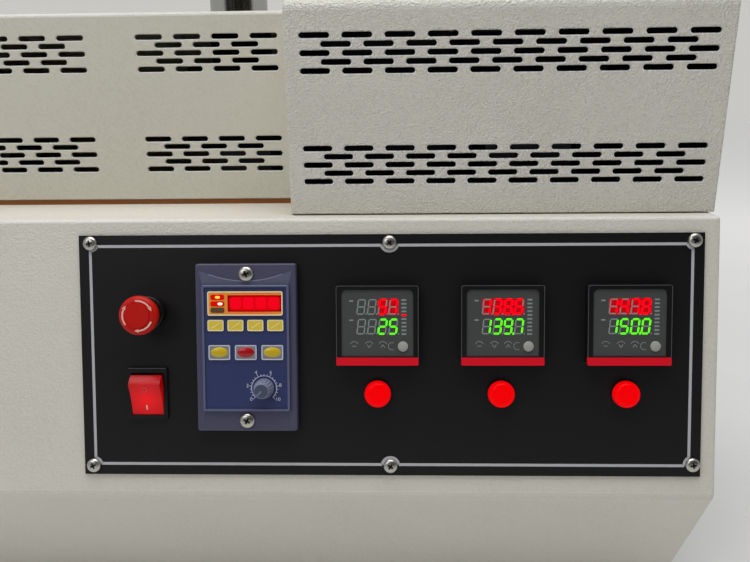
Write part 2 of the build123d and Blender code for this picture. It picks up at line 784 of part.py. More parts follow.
# Die head, the heater bands and the nozzle
die_end = barrel_tip - die_flange_thickness - die_length
with BuildPart() as die_head:
    with BuildSketch(across_screw(barrel_tip)):
        Circle(die_flange_radius)
    extrude(amount=-die_flange_thickness)
    with BuildSketch(across_screw(barrel_tip)):
        Circle(die_radius)
    extrude(amount=die_end - barrel_tip)
    chamfer(die_head.edges().filter_by(GeomType.CIRCLE).sort_by(Axis.X)[0], die_chamfer)
    with BuildSketch(across_screw(barrel_tip)):
        Circle(die_cavity_radius)
    extrude(amount=die_end - barrel_tip, mode=Mode.SUBTRACT)
finish(die_head, "die_head")

heater_bore = barrel_radius + fit_clearance
die_heater_bore = die_radius + fit_clearance
heater_start = block_left - barrel_flange_thickness
heater_space = heater_start - support_x - support_thickness
heater_gap = (heater_space - heater_count * heater_length) / (heater_count + 1)
heater_pitch = heater_length + heater_gap

with BuildPart() as heater_bands:
    for index in range(heater_count):
        with BuildSketch(across_screw(heater_start - heater_gap - index * heater_pitch)):
            Circle(heater_bore + heater_thickness)
            Circle(heater_bore, mode=Mode.SUBTRACT)
        extrude(amount=-heater_length)
    with BuildSketch(across_screw(barrel_tip - die_flange_thickness - die_heater_start)):
        Circle(die_heater_bore + heater_thickness)
        Circle(die_heater_bore, mode=Mode.SUBTRACT)
    extrude(amount=-die_heater_length)
finish(heater_bands, "heater_bands")

with BuildPart() as nozzle:
    with BuildSketch(across_screw(die_end)):
        RegularPolygon(nozzle_radius, 6)
    extrude(amount=-nozzle_shank)
    with BuildSketch(across_screw(die_end - nozzle_shank)):
        Circle(nozzle_radius * cos(radians(30)))
    with BuildSketch(across_screw(die_end - nozzle_length)):
        Circle(nozzle_tip_radius)
    loft()
    with BuildSketch(across_screw(die_end)):
        Circle(nozzle_hole_radius)
    extrude(amount=-nozzle_length, mode=Mode.SUBTRACT)
finish(nozzle, "nozzle")

# Hopper: neck, cone and straight side, welded edge to edge, with a rolled rim
neck_top = top_z + neck_top_height
cone_top = neck_top + hopper_cone_height
hopper_top = cone_top + hopper_side_height
neck_inside = neck_radius - hopper_sheet
side_inside = hopper_radius - hopper_sheet
hopper_axis = Axis((neck_x, axis_y, 0), (0, 0, 1))
hopper_section = Plane(origin=(neck_x, axis_y, 0), x_dir=(1, 0, 0), z_dir=(0, -1, 0))

with BuildPart() as hopper_neck:
    with BuildSketch(Plane.XY.offset(block_top)):
        with Locations((neck_x, axis_y)):
            Circle(neck_radius)
            Circle(neck_inside, mode=Mode.SUBTRACT)
    extrude(amount=neck_top - block_top)
finish(hopper_neck, "hopper_neck")

with BuildPart() as hopper_cone:
    with BuildSketch(hopper_section):
        with BuildLine():
            Polyline((neck_radius, neck_top), (hopper_radius, cone_top), (side_inside, cone_top),
                     (neck_inside, neck_top), close=True)
        make_face()
    revolve(axis=hopper_axis)
finish(hopper_cone, "hopper_cone")

with BuildPart() as hopper_side:
    with BuildSketch(hopper_section):
        with BuildLine():
            Polyline((hopper_radius, cone_top), (hopper_radius, hopper_top), (side_inside, hopper_top),
                     (side_inside, cone_top), close=True)
        make_face()
        with Locations((hopper_radius, hopper_top)):
            Circle(hopper_rim_radius)
    revolve(axis=hopper_axis)
finish(hopper_side, "hopper_side")

# Screw, as a plain root shaft
screw_tip = barrel_tip + die_flange_thickness
screw_tail = gearbox_left

with BuildPart() as feed_screw:
    with BuildSketch(across_screw(screw_tip)):
        Circle(screw_root_radius)
    extrude(amount=screw_tail - screw_tip)
finish(feed_screw, "feed_screw")

# Drive: thrust spacer, reduction gearbox and motor under the drive cover
with BuildPart() as thrust_spacer:
    with BuildSketch(across_screw(block_right)):
        Circle(spacer_radius)
        Circle(bore_radius, mode=Mode.SUBTRACT)
    extrude(amount=gearbox_left - block_right)
finish(thrust_spacer, "thrust_spacer")

with BuildPart() as gearbox:
    with BuildSketch(across_screw(gearbox_left)):
        Rectangle(gearbox_width, 2 * gearbox_half_height)
    extrude(amount=gearbox_length)
    fillet(gearbox.edges(), gearbox_edge)
    with BuildSketch(Plane.XY.offset(top_z)):
        with Locations(((gearbox_left + gearbox_right) / 2, axis_y)):
            Rectangle(gearbox_length, drive_foot_width)
    extrude(amount=axis_height - gearbox_half_height + gearbox_edge)
finish(gearbox, "gearbox")

motor_end = gearbox_right + motor_length
with BuildPart() as motor:
    with BuildSketch(across_screw(gearbox_right)):
        Circle(motor_radius)
        with PolarLocations(motor_radius, motor_rib_count):
            Rectangle(2 * motor_rib_depth, motor_rib_width, mode=Mode.SUBTRACT)
    extrude(amount=motor_length)
    with BuildSketch(across_screw(gearbox_right)):
        Circle(motor_radius)
    extrude(amount=motor_bell_length)
    with BuildSketch(across_screw(motor_end)):
        Circle(motor_cowl_radius)
    extrude(amount=-motor_cowl_length)
finish(motor, "motor")

# Support blocks: the feed block's pedestal, the barrel's end plate and the motor's cradle
support_drop = axis_z - insulation_top
support_top = barrel_radius + support_crown
cradle_x = (gearbox_right + motor_bell_length + motor_end - motor_cowl_length) / 2

with BuildPart() as support_blocks:
    with BuildSketch(Plane.XY.offset(insulation_top)):
        with Locations((neck_x, axis_y)):
            Rectangle(pedestal_length, pedestal_width)
    extrude(amount=support_drop - feed_block_half_height)
    with BuildSketch(across_screw(support_x)):
        with Locations((0, (support_top - support_drop) / 2)):
            Rectangle(support_width, support_drop + support_top)
        Circle(barrel_radius + fit_clearance, mode=Mode.SUBTRACT)
    extrude(amount=support_thickness)
    with BuildSketch(across_screw(cradle_x - cradle_length / 2)):
        with Locations((0, -axis_height / 2)):
            Rectangle(cradle_width, axis_height)
        Circle(motor_radius + fit_clearance, mode=Mode.SUBTRACT)
    extrude(amount=cradle_length)
finish(support_blocks, "support_blocks")
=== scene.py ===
"""Looks of a desktop filament extruder: finishes, instrument faces, fasteners, light and camera."""
from math import asin, atan2, copysign, cos, degrees, radians, sin, sqrt, tau

import bmesh
import bpy
from mathutils import Matrix, Vector


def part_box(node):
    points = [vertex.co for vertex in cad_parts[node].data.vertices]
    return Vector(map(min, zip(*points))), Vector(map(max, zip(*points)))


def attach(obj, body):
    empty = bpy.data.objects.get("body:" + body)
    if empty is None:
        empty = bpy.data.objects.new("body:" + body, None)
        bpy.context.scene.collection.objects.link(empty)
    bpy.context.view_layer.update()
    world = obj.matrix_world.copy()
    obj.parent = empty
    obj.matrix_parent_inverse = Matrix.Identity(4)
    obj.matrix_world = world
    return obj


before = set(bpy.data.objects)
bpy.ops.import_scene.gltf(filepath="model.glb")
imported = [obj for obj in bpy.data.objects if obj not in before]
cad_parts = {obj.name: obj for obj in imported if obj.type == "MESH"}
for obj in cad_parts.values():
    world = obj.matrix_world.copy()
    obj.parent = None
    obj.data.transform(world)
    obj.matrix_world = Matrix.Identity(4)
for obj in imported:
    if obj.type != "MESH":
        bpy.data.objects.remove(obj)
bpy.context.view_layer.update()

MM = 0.001
MACHINE = "machine"

# ---- Places on the leaning control plate ----
# In millimetres: (across, up) from the plate's middle, and heights over its face in the names with _OUT

FACE_LEAN = radians(13.0)
PLATE_THICKNESS = 1.5
panel_up = Vector((0, sin(FACE_LEAN), cos(FACE_LEAN)))
panel_out = Vector((0, -cos(FACE_LEAN), sin(FACE_LEAN)))
plate_low, plate_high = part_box("control_plate")
panel_middle = (plate_low + plate_high) / 2 + panel_out * PLATE_THICKNESS / 2 * MM

STOP = (-146.7, 26.9)
STOP_HEAD_OUT = 20.2
SWITCH = (-148.5, -23.3)
HOUSING_OUT = 1.8

SPEED = (-85.8, 5.8)
SPEED_BODY_OUT = 6.0
LABEL_OUT = 7.2
KEY_OUT = 7.8
DISPLAY = (-85.8, 33.0)
DISPLAY_OUT = 8.2
WINDOW = (-80.0, 33.0)
WINDOW_OUT = 7.8
DIAL = (-75.1, -18.5)
KNOB_OUT = 16.6

CONTROLLERS = {"feed": -6.5, "barrel": 68.5, "die": 143.5}
CONTROLLER_UP = 19.3
SCREEN_OUT = 6.3
CASE_OUT = 7.0
CASE_SIZE = (49.4, 48.0)


def facing(origin, right, up):
    """Place of a piece drawn in millimetres: its x runs right, its y up, its z towards the viewer."""
    out = right.cross(up)
    turn = Matrix((right, up, out)).transposed().to_4x4()
    return Matrix.Translation(origin) @ turn @ Matrix.Scale(MM, 4)


def on_panel(across, up, out=0.0):
    """Place on the control plate's front, measured in millimetres from its middle."""
    spot = panel_middle + (Vector((1, 0, 0)) * across + panel_up * up + panel_out * out) * MM
    return facing(spot, Vector((1, 0, 0)), panel_up)


def shifted(x=0.0, y=0.0, z=0.0, turn=0.0):
    """A move within a drawing, with a turn in degrees about its z axis."""
    return Matrix.Translation((x, y, z)) @ Matrix.Rotation(radians(turn), 4, "Z")


# ---- Shapes, drawn in millimetres ----


def in_scene(name, data):
    """An object in the scene for a mesh, a curve, a light or a camera."""
    holder = bpy.data.objects.new(name, data)
    bpy.context.scene.collection.objects.link(holder)
    return holder


def as_mesh(name, shape):
    """Turns a drawing into a mesh and clears the drawing away."""
    mesh = bpy.data.meshes.new(name)
    shape.to_mesh(mesh)
    shape.free()
    return mesh


def final_shape(holder):
    """An object as it looks with its modifiers, as a drawing."""
    mesh = bpy.data.meshes.new_from_object(holder.evaluated_get(bpy.context.evaluated_depsgraph_get()))
    shape = bmesh.new()
    shape.from_mesh(mesh)
    bpy.data.meshes.remove(mesh)
    return shape


def join(shape, part, move=None):
    """Adds one drawn part to another, at a place in it."""
    if move is not None:
        part.transform(move)
    mesh = as_mesh("part", part)
    shape.from_mesh(mesh)
    bpy.data.meshes.remove(mesh)


def eased(shape, edges, radius, segments):
    """Rounds some of a shape's edges."""
    bmesh.ops.bevel(shape, geom=edges, offset=radius, segments=segments, profile=0.5, affect="EDGES",
                    material=-1)


def slab(width, height, depth, corner=0.0, ease=0.0):
    """A flat block standing on z = 0, with rounded corners and, if asked, an eased front edge."""
    shape = bmesh.new()
    bmesh.ops.create_cube(shape, size=1.0)
    bmesh.ops.scale(shape, vec=(width, height, depth), verts=shape.verts)
    bmesh.ops.translate(shape, vec=(0, 0, depth / 2), verts=shape.verts)
    if corner:
        upright = [e for e in shape.edges if abs(e.verts[0].co.z - e.verts[1].co.z) > depth / 2]
        eased(shape, upright, corner, 5)
    if ease:
        front = [e for e in shape.edges if min(v.co.z for v in e.verts) > depth * 0.999]
        eased(shape, front, ease, 2)
    return shape


def lathe(profile, steps=40):
    """A turned shape about z from points of radius and height."""
    shape = bmesh.new()
    points = [shape.verts.new((radius, 0, height)) for radius, height in profile]
    edges = [shape.edges.new(pair) for pair in zip(points, points[1:])]
    bmesh.ops.spin(shape, geom=points + edges, cent=(0, 0, 0), axis=(0, 0, 1), angle=tau, steps=steps,
                   use_merge=True)
    bmesh.ops.remove_doubles(shape, verts=shape.verts, dist=1e-4)
    return shape


def thicken(shape, depth):
    """Raises a flat shape to a depth."""
    raised = bmesh.ops.extrude_face_region(shape, geom=list(shape.faces))["geom"]
    front = [item for item in raised if isinstance(item, bmesh.types.BMVert)]
    bmesh.ops.translate(shape, vec=(0, 0, depth), verts=front)
    return shape


def arc(inner, outer, start, sweep, depth, steps=24):
    """A flat arc on z = 0, from an angle in degrees and through a sweep."""
    shape = bmesh.new()
    ends = [shape.verts.new((inner, 0, 0)), shape.verts.new((outer, 0, 0))]
    edge = shape.edges.new(ends)
    bmesh.ops.rotate(shape, verts=ends, matrix=Matrix.Rotation(radians(start), 3, "Z"))
    bmesh.ops.spin(shape, geom=ends + [edge], cent=(0, 0, 0), axis=(0, 0, 1), angle=radians(sweep),
                   steps=steps)
    return thicken(shape, depth)


def outline(points, depth):
    """A flat shape with straight sides on z = 0."""
    shape = bmesh.new()
    shape.faces.new([shape.verts.new((x, y, 0)) for x, y in points])
    return thicken(shape, depth)


def border(width, height, line, corner, depth):
    """A flat frame on z = 0 with rounded corners, given by its outer size."""
    shape = bmesh.new()
    for side in (1, -1):
        join(shape, slab(width - 2 * corner, line, depth), shifted(0, side * (height - line) / 2))
        join(shape, slab(line, height - 2 * corner, depth), shifted(side * (width - line) / 2, 0))
    for x, y, start in ((1, 1, 0), (-1, 1, 90), (-1, -1, 180), (1, -1, 270)):
        bend = arc(corner - line, corner, start, 90, depth, 8)
        join(shape, bend, shifted(x * (width / 2 - corner), y * (height / 2 - corner)))
    return shape


def words(text, height, depth):
    """Plain figures, centred on the origin."""
    curve = bpy.data.curves.new("figures", "FONT")
    curve.body = text
    curve.size = height
    curve.align_x = "CENTER"
    curve.align_y = "CENTER"
    curve.extrude = depth
    curve.resolution_u = 3
    holder = in_scene("figures", curve)
    shape = final_shape(holder)
    bpy.data.objects.remove(holder)
    bpy.data.curves.remove(curve)
    return shape


def carved(body, cutters):
    """The first shape with the others cut out of it, one after the other."""
    holders = []
    for shape in [body] + cutters:
        bmesh.ops.recalc_face_normals(shape, faces=shape.faces)
        holders.append(in_scene("cutting", as_mesh("cutting", shape)))
    for cutter in holders[1:]:
        cut = holders[0].modifiers.new("recess", "BOOLEAN")
        cut.operation = "DIFFERENCE"
        cut.solver = "EXACT"
        cut.object = cutter
    result = final_shape(holders[0])
    for holder in holders:
        mesh = holder.data
        bpy.data.objects.remove(holder)
        bpy.data.meshes.remove(mesh)
    return result


def piece(name, shape, place, finish, body=MACHINE, sharp=32.0):
    """Makes a drawn shape a piece of the machine: in its place, finished, and riding on a body."""
    shape.transform(place)
    bmesh.ops.recalc_face_normals(shape, faces=shape.faces)
    for face in shape.faces:
        face.smooth = True
    for edge in shape.edges:
        edge.smooth = len(edge.link_faces) == 2 and edge.calc_face_angle(0.0) < radians(sharp)
    mesh = as_mesh(name, shape)
    mesh.materials.append(finish)
    made = in_scene(name, mesh)
    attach(made, body)


# ---- Parts of the finishes ----

# The colour Mix node's sockets by number, since several share a name: factor, both colours and result
FACTOR, LOW, HIGH, MIXED = 0, 6, 7, 2


def colour(code):
    """The linear values of a colour written as sRGB hex."""
    channels = [int(code[i:i + 2], 16) / 255 for i in (1, 3, 5)]
    return [c / 12.92 if c <= 0.04045 else ((c + 0.055) / 1.055) ** 2.4 for c in channels] + [1.0]


def fill(tree, node, inputs):
    """Fills a node's inputs with values or links."""
    for name, value in inputs.items():
        if isinstance(value, bpy.types.NodeSocket):
            tree.links.new(value, node.inputs[name])
        else:
            node.inputs[name].default_value = value


def add(tree, kind, inputs=None, **settings):
    """Adds a shader node with its settings, and fills its inputs."""
    node = tree.nodes.new("ShaderNode" + kind)
    for name, value in settings.items():
        setattr(node, name, value)
    fill(tree, node, inputs or {})
    return node


def new_finish(name, shade, roughness, metallic=0.0, gloss=0.5):
    """A material with its shader's plain values set. Gives it, its tree, shader and coordinates."""
    finish = bpy.data.materials.new(name)
    finish.use_nodes = True
    finish.diffuse_color = colour(shade)
    tree = finish.node_tree
    shader = tree.nodes["Principled BSDF"]
    fill(tree, shader, {"Base Color": colour(shade), "Roughness": roughness, "Metallic": metallic,
                        "Specular IOR Level": gloss})
    return finish, tree, shader, add(tree, "TexCoord").outputs["Object"]


def per_metre(size_mm):
    """A noise scale whose features are about that many millimetres across."""
    return 1.0 / (size_mm * MM)


def noise(tree, place, size_mm, detail, roughness=0.5, distortion=0.0):
    """A cloudy pattern with features of a size."""
    pattern = add(tree, "TexNoise", {"Vector": place, "Scale": per_metre(size_mm), "Detail": detail,
                                     "Roughness": roughness, "Distortion": distortion})
    return pattern.outputs["Fac"]


def streaks(tree, place, stretch, size_mm, detail, roughness=0.5):
    """A cloudy pattern drawn out into lines along each axis whose stretch is small."""
    mapped = add(tree, "Mapping", {"Vector": place, "Scale": stretch})
    return noise(tree, mapped.outputs["Vector"], size_mm, detail, roughness)


def nearness(tree, place, middle, reach, falloff):
    """How near the surface is to a lamp: 1 at its middle and 0 at its reach, in metres."""
    centred = add(tree, "Mapping", {"Vector": place, "Location": tuple(-c / reach for c in middle),
                                    "Scale": (1 / reach,) * 3})
    near = add(tree, "TexGradient", {"Vector": centred.outputs["Vector"]}, gradient_type=falloff)
    return near.outputs["Fac"]


def blend(tree, factor, low, high):
    """A colour between two, by a factor."""
    return add(tree, "Mix", {FACTOR: factor, LOW: low, HIGH: high}, data_type="RGBA").outputs[MIXED]


def tinted(tree, shader, light, dark, factor):
    """Base colour between two shades, by a factor that a pattern gives. Returns the colour."""
    shade = blend(tree, factor, colour(dark), colour(light))
    fill(tree, shader, {"Base Color": shade})
    return shade


def relief(tree, shader, height, depth_mm, normal=None):
    """Drives the shader's normal from a height, its depth in millimetres, over a given normal if any."""
    under = {} if normal is None else {"Normal": normal}
    bump = add(tree, "Bump", {"Height": height, "Distance": depth_mm * MM, **under})
    fill(tree, shader, {"Normal": bump.outputs["Normal"]})


def uneven_gloss(tree, shader, factor, smooth, rough, start=0.0, end=1.0):
    """Roughness between two limits, by a factor that a pattern gives."""
    spread = add(tree, "MapRange", {"Value": factor, "From Min": start, "From Max": end,
                                    "To Min": smooth, "To Max": rough})
    fill(tree, shader, {"Roughness": spread.outputs["Result"]})


# ---- Finishes ----


def powder_coat(name, light, dark, grain_mm, depth_mm, round_mm):
    """Textured polyester powder coat on sheet steel: satin, pebbled by the baking, and drawn up round at
    every cut edge. The rounding is strengthened, and where it faces up the colour is whitened: a painted
    highlight on the slots' lower rims. The pits of the grain are painted darker as shade, under a broad
    random tone. The relief is deeper than the real tenth of a millimetre, to show."""
    strengthened, painted_highlight_start, painted_highlight_full = 2.4, 0.005, 0.05
    finish, tree, shader, place = new_finish(name, light, 0.46)
    swell = noise(tree, place, grain_mm * 1.7, 2.0, 0.55, 0.6)
    grain = add(tree, "TexVoronoi", {"Vector": place, "Scale": per_metre(grain_mm), "Smoothness": 0.6},
                feature="SMOOTH_F1")
    pebbles = add(tree, "Math", {0: swell, 1: grain.outputs["Distance"]}, operation="ADD")
    height = pebbles.outputs["Value"]
    rounded = add(tree, "Bevel", {"Radius": round_mm * MM}, samples=6).outputs["Normal"]
    flat = add(tree, "NewGeometry").outputs["Normal"]
    lift = add(tree, "VectorMath", {0: rounded, 1: flat}, operation="SUBTRACT").outputs["Vector"]
    leaning = add(tree, "VectorMath", {0: lift, 1: (strengthened,) * 3, 2: flat},
                  operation="MULTIPLY_ADD")
    level = add(tree, "VectorMath", {0: leaning.outputs["Vector"]}, operation="NORMALIZE")
    relief(tree, shader, height, depth_mm, level.outputs["Vector"])
    # Painted shade: the grain's pits are drawn darker, as shade would make them, mixed with a broad
    # random tone
    uneven = add(tree, "Math", {0: height, 1: noise(tree, place, 70, 3.0)}, operation="ADD")
    shift = add(tree, "MapRange", {"Value": uneven.outputs["Value"], "From Min": 0.95, "From Max": 1.6})
    coat = tinted(tree, shader, light, dark, shift.outputs["Result"])
    # Painted highlight: the base colour turns white where the strengthened rounding faces up
    upward = add(tree, "SeparateXYZ", {"Vector": lift}).outputs["Z"]
    edge = add(tree, "MapRange", {"Value": upward, "From Min": painted_highlight_start, "From Max": painted_highlight_full})
    fill(tree, shader, {"Base Color": blend(tree, edge.outputs["Result"], coat, colour("#FFFFFF"))})
    return finish


def moulded_plastic(name, shade, roughness, grain_mm=0.35, depth_mm=0.012, gloss=0.5):
    """Injection-moulded ABS from a spark-eroded mould: an even fine grain, and a soft sheen that
    handling makes uneven."""
    finish, tree, shader, place = new_finish(name, shade, roughness, 0.0, gloss)
    relief(tree, shader, noise(tree, place, grain_mm, 2.0), depth_mm)
    uneven_gloss(tree, shader, noise(tree, place, 9, 3.0), roughness - 0.05, roughness + 0.08)
    return finish


def printed_film(name, shade, roughness=0.36, gloss=0.35):
    """Screen-printed polyester film: flat ink under a fine velvet surface."""
    finish, tree, shader, place = new_finish(name, shade, roughness, 0.0, gloss)
    relief(tree, shader, noise(tree, place, 0.25, 1.0), 0.004)
    return finish


def lit_lens(name, shade, glow, strength, gloss=0.12):
    """Tinted polycarbonate with a lamp behind it: the whole lens glows in its own colour."""
    finish, tree, shader, place = new_finish(name, shade, 0.25, 0.0, gloss)
    fill(tree, shader, {"Emission Color": colour(glow), "Emission Strength": strength})
    relief(tree, shader, noise(tree, place, 1.6, 1.0), 0.01)
    return finish


def brushed_metal(name, shade, roughness, along, line_mm=0.5, depth_mm=0.006):
    """Satin metal with fine lines along one axis, or in rings round z, that unsettle its gloss."""
    finish, tree, shader, place = new_finish(name, shade, roughness, 1.0)
    stretch = {"X": (0.02, 1, 1), "Y": (1, 0.02, 1), "Z": (1, 1, 0.02), "RING": (0.02, 0.02, 1)}[along]
    lines = streaks(tree, place, stretch, line_mm, 4.0, 0.7)
    relief(tree, shader, lines, depth_mm)
    uneven_gloss(tree, shader, lines, roughness - 0.07, roughness + 0.09, 0.3, 0.7)
    return finish


def turned_metal(name, shade, roughness):
    """Lathe-turned metal: rings that follow the tool's feed, drawn 0.4 mm apart so that they show."""
    finish, tree, shader, place = new_finish(name, shade, roughness, 1.0)
    rings = add(tree, "TexWave", {"Vector": place, "Scale": per_metre(0.4) / tau, "Distortion": 0.4,
                                  "Detail": 1.0}, bands_direction="X")
    relief(tree, shader, rings.outputs["Fac"], 0.004)
    return finish


def cast_metal(name, shade, roughness, metallic):
    """Sand-cast or painted casting: a coarse skin with soft pits."""
    finish, tree, shader, place = new_finish(name, shade, roughness, metallic)
    relief(tree, shader, noise(tree, place, 1.2, 4.0), 0.08)
    return finish


def black_plate_finish():
    """Black anodised aluminium sheet: deep, even, with a weak satin reflection and hairline grain."""
    finish, tree, shader, place = new_finish("black_anodised_aluminium", "#151517", 0.42, 0.0, 0.25)
    lines = streaks(tree, place, (0.03, 1, 1), 0.6, 3.0)
    relief(tree, shader, lines, 0.004)
    uneven_gloss(tree, shader, lines, 0.34, 0.5)
    return finish


def board_finish():
    """Brown phenolic cotton board: pressed layers show as thin darker lines on its edge."""
    finish, tree, shader, place = new_finish("phenolic_board", "#7A4516", 0.5)
    layers = streaks(tree, place, (0.02, 0.02, 1), 0.5, 2.0)
    tinted(tree, shader, "#9C5A12", "#6C3C08", layers)
    relief(tree, shader, layers, 0.03)
    return finish


def rubber_finish():
    """Moulded natural rubber: near black, dull, with a bloom that greys it in patches."""
    finish, tree, shader, place = new_finish("moulded_rubber", "#1D1D1E", 0.78)
    bloom = noise(tree, place, 6, 4.0)
    tinted(tree, shader, "#2B2B2C", "#161617", bloom)
    relief(tree, shader, bloom, 0.05)
    return finish


def bezel_finish():
    """Yellow film over the display's lamps: it glows a little, and their red light turns it orange near
    the window."""
    finish, tree, shader, place = new_finish("yellow_film_over_red_light", "#D98A34", 0.4, 0.0, 0.3)
    middle = on_panel(*WINDOW, WINDOW_OUT).translation
    tinted(tree, shader, "#FF602C", "#D49A36", nearness(tree, place, middle, 0.03, "QUADRATIC_SPHERE"))
    fill(tree, shader, {"Emission Color": colour("#FF5010"), "Emission Strength": 0.12})
    return finish


def rocker_finish():
    """Clear red polycarbonate rocker with a lamp behind it: bright in its middle, deep red at its rim."""
    finish, tree, shader, place = new_finish("lit_red_rocker", "#A80510", 0.26, 0.0, 0.22)
    middle = on_panel(SWITCH[0], SWITCH[1] - 3.5, 3.0).translation
    glow = add(tree, "MapRange", {"Value": nearness(tree, place, middle, 0.015, "SPHERICAL"),
                                  "From Max": 0.9, "To Min": 0.12, "To Max": 0.52})
    fill(tree, shader, {"Emission Color": colour("#FF0408"),
                        "Emission Strength": glow.outputs["Result"]})
    return finish


# Sheet steel in warm off-white: flatter on the cabinet and the barrel cover than on the drive cover
cabinet_coat = powder_coat("powder_coated_steel", "#DAD6CB", "#D3CFC3", 1.3, 0.2, 0.7)
cover_coat = powder_coat("powder_coated_steel_fine", "#DAD7C8", "#D3D0C1", 2.0, 0.14, 0.9)
drive_coat = powder_coat("powder_coated_steel_coarse", "#E0DDD2", "#D2CFC3", 1.1, 0.72, 1.1)

plate_black = black_plate_finish()
brown_board = board_finish()
foot_rubber = rubber_finish()

# Inks: on the plate, the head and rocker, the film keys, the dial and the unlit bars of the screens
silver_print = printed_film("silver_ink", "#B9B9BD", 0.45)
arrow_print = printed_film("pink_white_ink", "#F0B9AC", 0.5)
white_print = printed_film("white_ink", "#E4E4E2", 0.5)
faint_print = printed_film("worn_white_ink", "#E0505A", 0.5)
cream_print = printed_film("cream_ink", "#F2EABC", 0.5)
key_border_print = printed_film("pale_grey_ink", "#CDD0DC", 0.5)
pale_print = printed_film("pale_blue_ink", "#C8CDE8", 0.5)
segment_ghost = printed_film("unlit_segment", "#8E9795", 0.4)

# Films: flat colour in a velvet surface
blue_film = printed_film("dark_blue_film", "#323B66", 0.4, 0.3)
dark_brown_film = printed_film("brown_film", "#5E4630", 0.4)
yellow_film = printed_film("yellow_film", "#E6C844", 0.4)
key_silver = printed_film("silver_film", "#84858A", 0.36)
strip_red = printed_film("crimson_film", "#E41428", 0.32, 0.25)
screen_film = printed_film("smoked_polycarbonate", "#4B4C4C", 0.3)
bezel_film = bezel_finish()

# Moulded plastics: blacks, greys, the speed controller's slate with its painted-light slates, and the
# buttons
black_abs = moulded_plastic("black_abs", "#0F0F10", 0.4, gloss=0.3)
case_abs = moulded_plastic("charcoal_abs", "#111113", 0.34, gloss=0.35)
# A lighter grey for painted highlights along the switch housing's and the controller cases' edges
painted_highlight_abs = moulded_plastic("charcoal_abs_painted_highlight", "#5C5D61", 0.3)
knob_light = moulded_plastic("grey_abs", "#7C8299", 0.36)
knob_line = moulded_plastic("pale_grey_abs", "#6F7993", 0.4)
knob_dark = moulded_plastic("dark_grey_abs", "#444C60", 0.4)
button_grey = moulded_plastic("light_grey_silicone", "#A2A49C", 0.55)
slate_abs = moulded_plastic("slate_blue_abs", "#4B4A62", 0.38, gloss=0.4)
# Lighter slates, painted light: the lit cheek and mitres, a painted highlight on the frame's edge, a
# brighter one on the lip and frame top
painted_lit_slate = moulded_plastic("slate_abs_painted_light", "#5C5E76", 0.36, gloss=0.4)
painted_frame_highlight_slate = moulded_plastic("slate_abs_painted_frame_highlight", "#5D6283", 0.36, gloss=0.4)
painted_highlight_slate = moulded_plastic("slate_abs_painted_highlight", "#8C91AA", 0.34)
stop_red = moulded_plastic("red_polyamide", "#C01408", 0.4, 0.5, 0.006, 0.2)
oval_yellow = moulded_plastic("yellow_polyester_dome", "#CFB11C", 0.22, 0.6, 0.004)
oval_red = moulded_plastic("red_polyester_dome", "#B0101C", 0.2, 0.6, 0.004)

# Painted shade: a black with hardly any sheen and a coarse grain, for dark sheets where there is only
# shade
painted_shade_black = moulded_plastic("black_painted_shade", "#070707", 0.9, 0.6, 0.1, 0.1)

# Lit pieces: the shade when dark, then the light's colour and strength
lamp_red = lit_lens("lit_red_polycarbonate", "#B00006", "#FF0206", 0.6, 0.05)
rocker_red = rocker_finish()
red_glow = lit_lens("red_light_haze", "#7A0A12", "#FF0414", 0.34)
window_red = lit_lens("lit_red_filter", "#600008", "#FF0208", 0.2)
window_lit = lit_lens("bright_red_filter", "#900008", "#FF0210", 0.55)
figure_lit = lit_lens("lit_red_figure", "#A0000C", "#FF0420", 0.66)
lamp_back = lit_lens("dim_red_lens", "#900606", "#FF1008", 0.45)
red_led = lit_lens("red_light_segment", "#C00010", "#FF0618", 0.9)
green_led = lit_lens("green_light_segment", "#50D818", "#5CFF18", 0.8)
amber_led = lit_lens("amber_light", "#FFA030", "#FFC040", 1.0)
warm_led = lit_lens("warm_white_light", "#FFD8C0", "#FFE0D0", 1.0)

# Metals: drawn or ground with fine lines, turned with rings, blackened by heat, cast, and enamelled
zinc_steel = brushed_metal("nickel_plated_steel", "#BEBCB4", 0.33, "RING", 0.6, 0.003)
stainless = brushed_metal("brushed_stainless_steel", "#C9C7C2", 0.27, "RING", 0.6)
polished_steel = brushed_metal("polished_stainless_steel", "#D2D0C6", 0.13, "Z", 0.9, 0.0015)
weld_steel = brushed_metal("ground_weld_bead", "#A9A59C", 0.36, "RING", 0.5, 0.01)
heater_steel = brushed_metal("rolled_stainless_steel", "#8F8A80", 0.42, "X", 0.8)
bright_steel = brushed_metal("ground_steel", "#C6C6C6", 0.2, "Z", 0.4, 0.002)
pin_brass = brushed_metal("nickel_plated_brass", "#C9C4B4", 0.25, "Y", 0.4, 0.002)
machined_steel = turned_metal("turned_alloy_steel", "#8F9194", 0.3)
blackened_steel = turned_metal("heat_blackened_alloy_steel", "#1E1D1D", 0.45)
turned_brass = turned_metal("turned_brass", "#C9A24C", 0.26)
cast_aluminium = cast_metal("cast_aluminium", "#6E7072", 0.5, 1.0)
black_enamel = cast_metal("black_machine_enamel", "#131415", 0.5, 0.0)

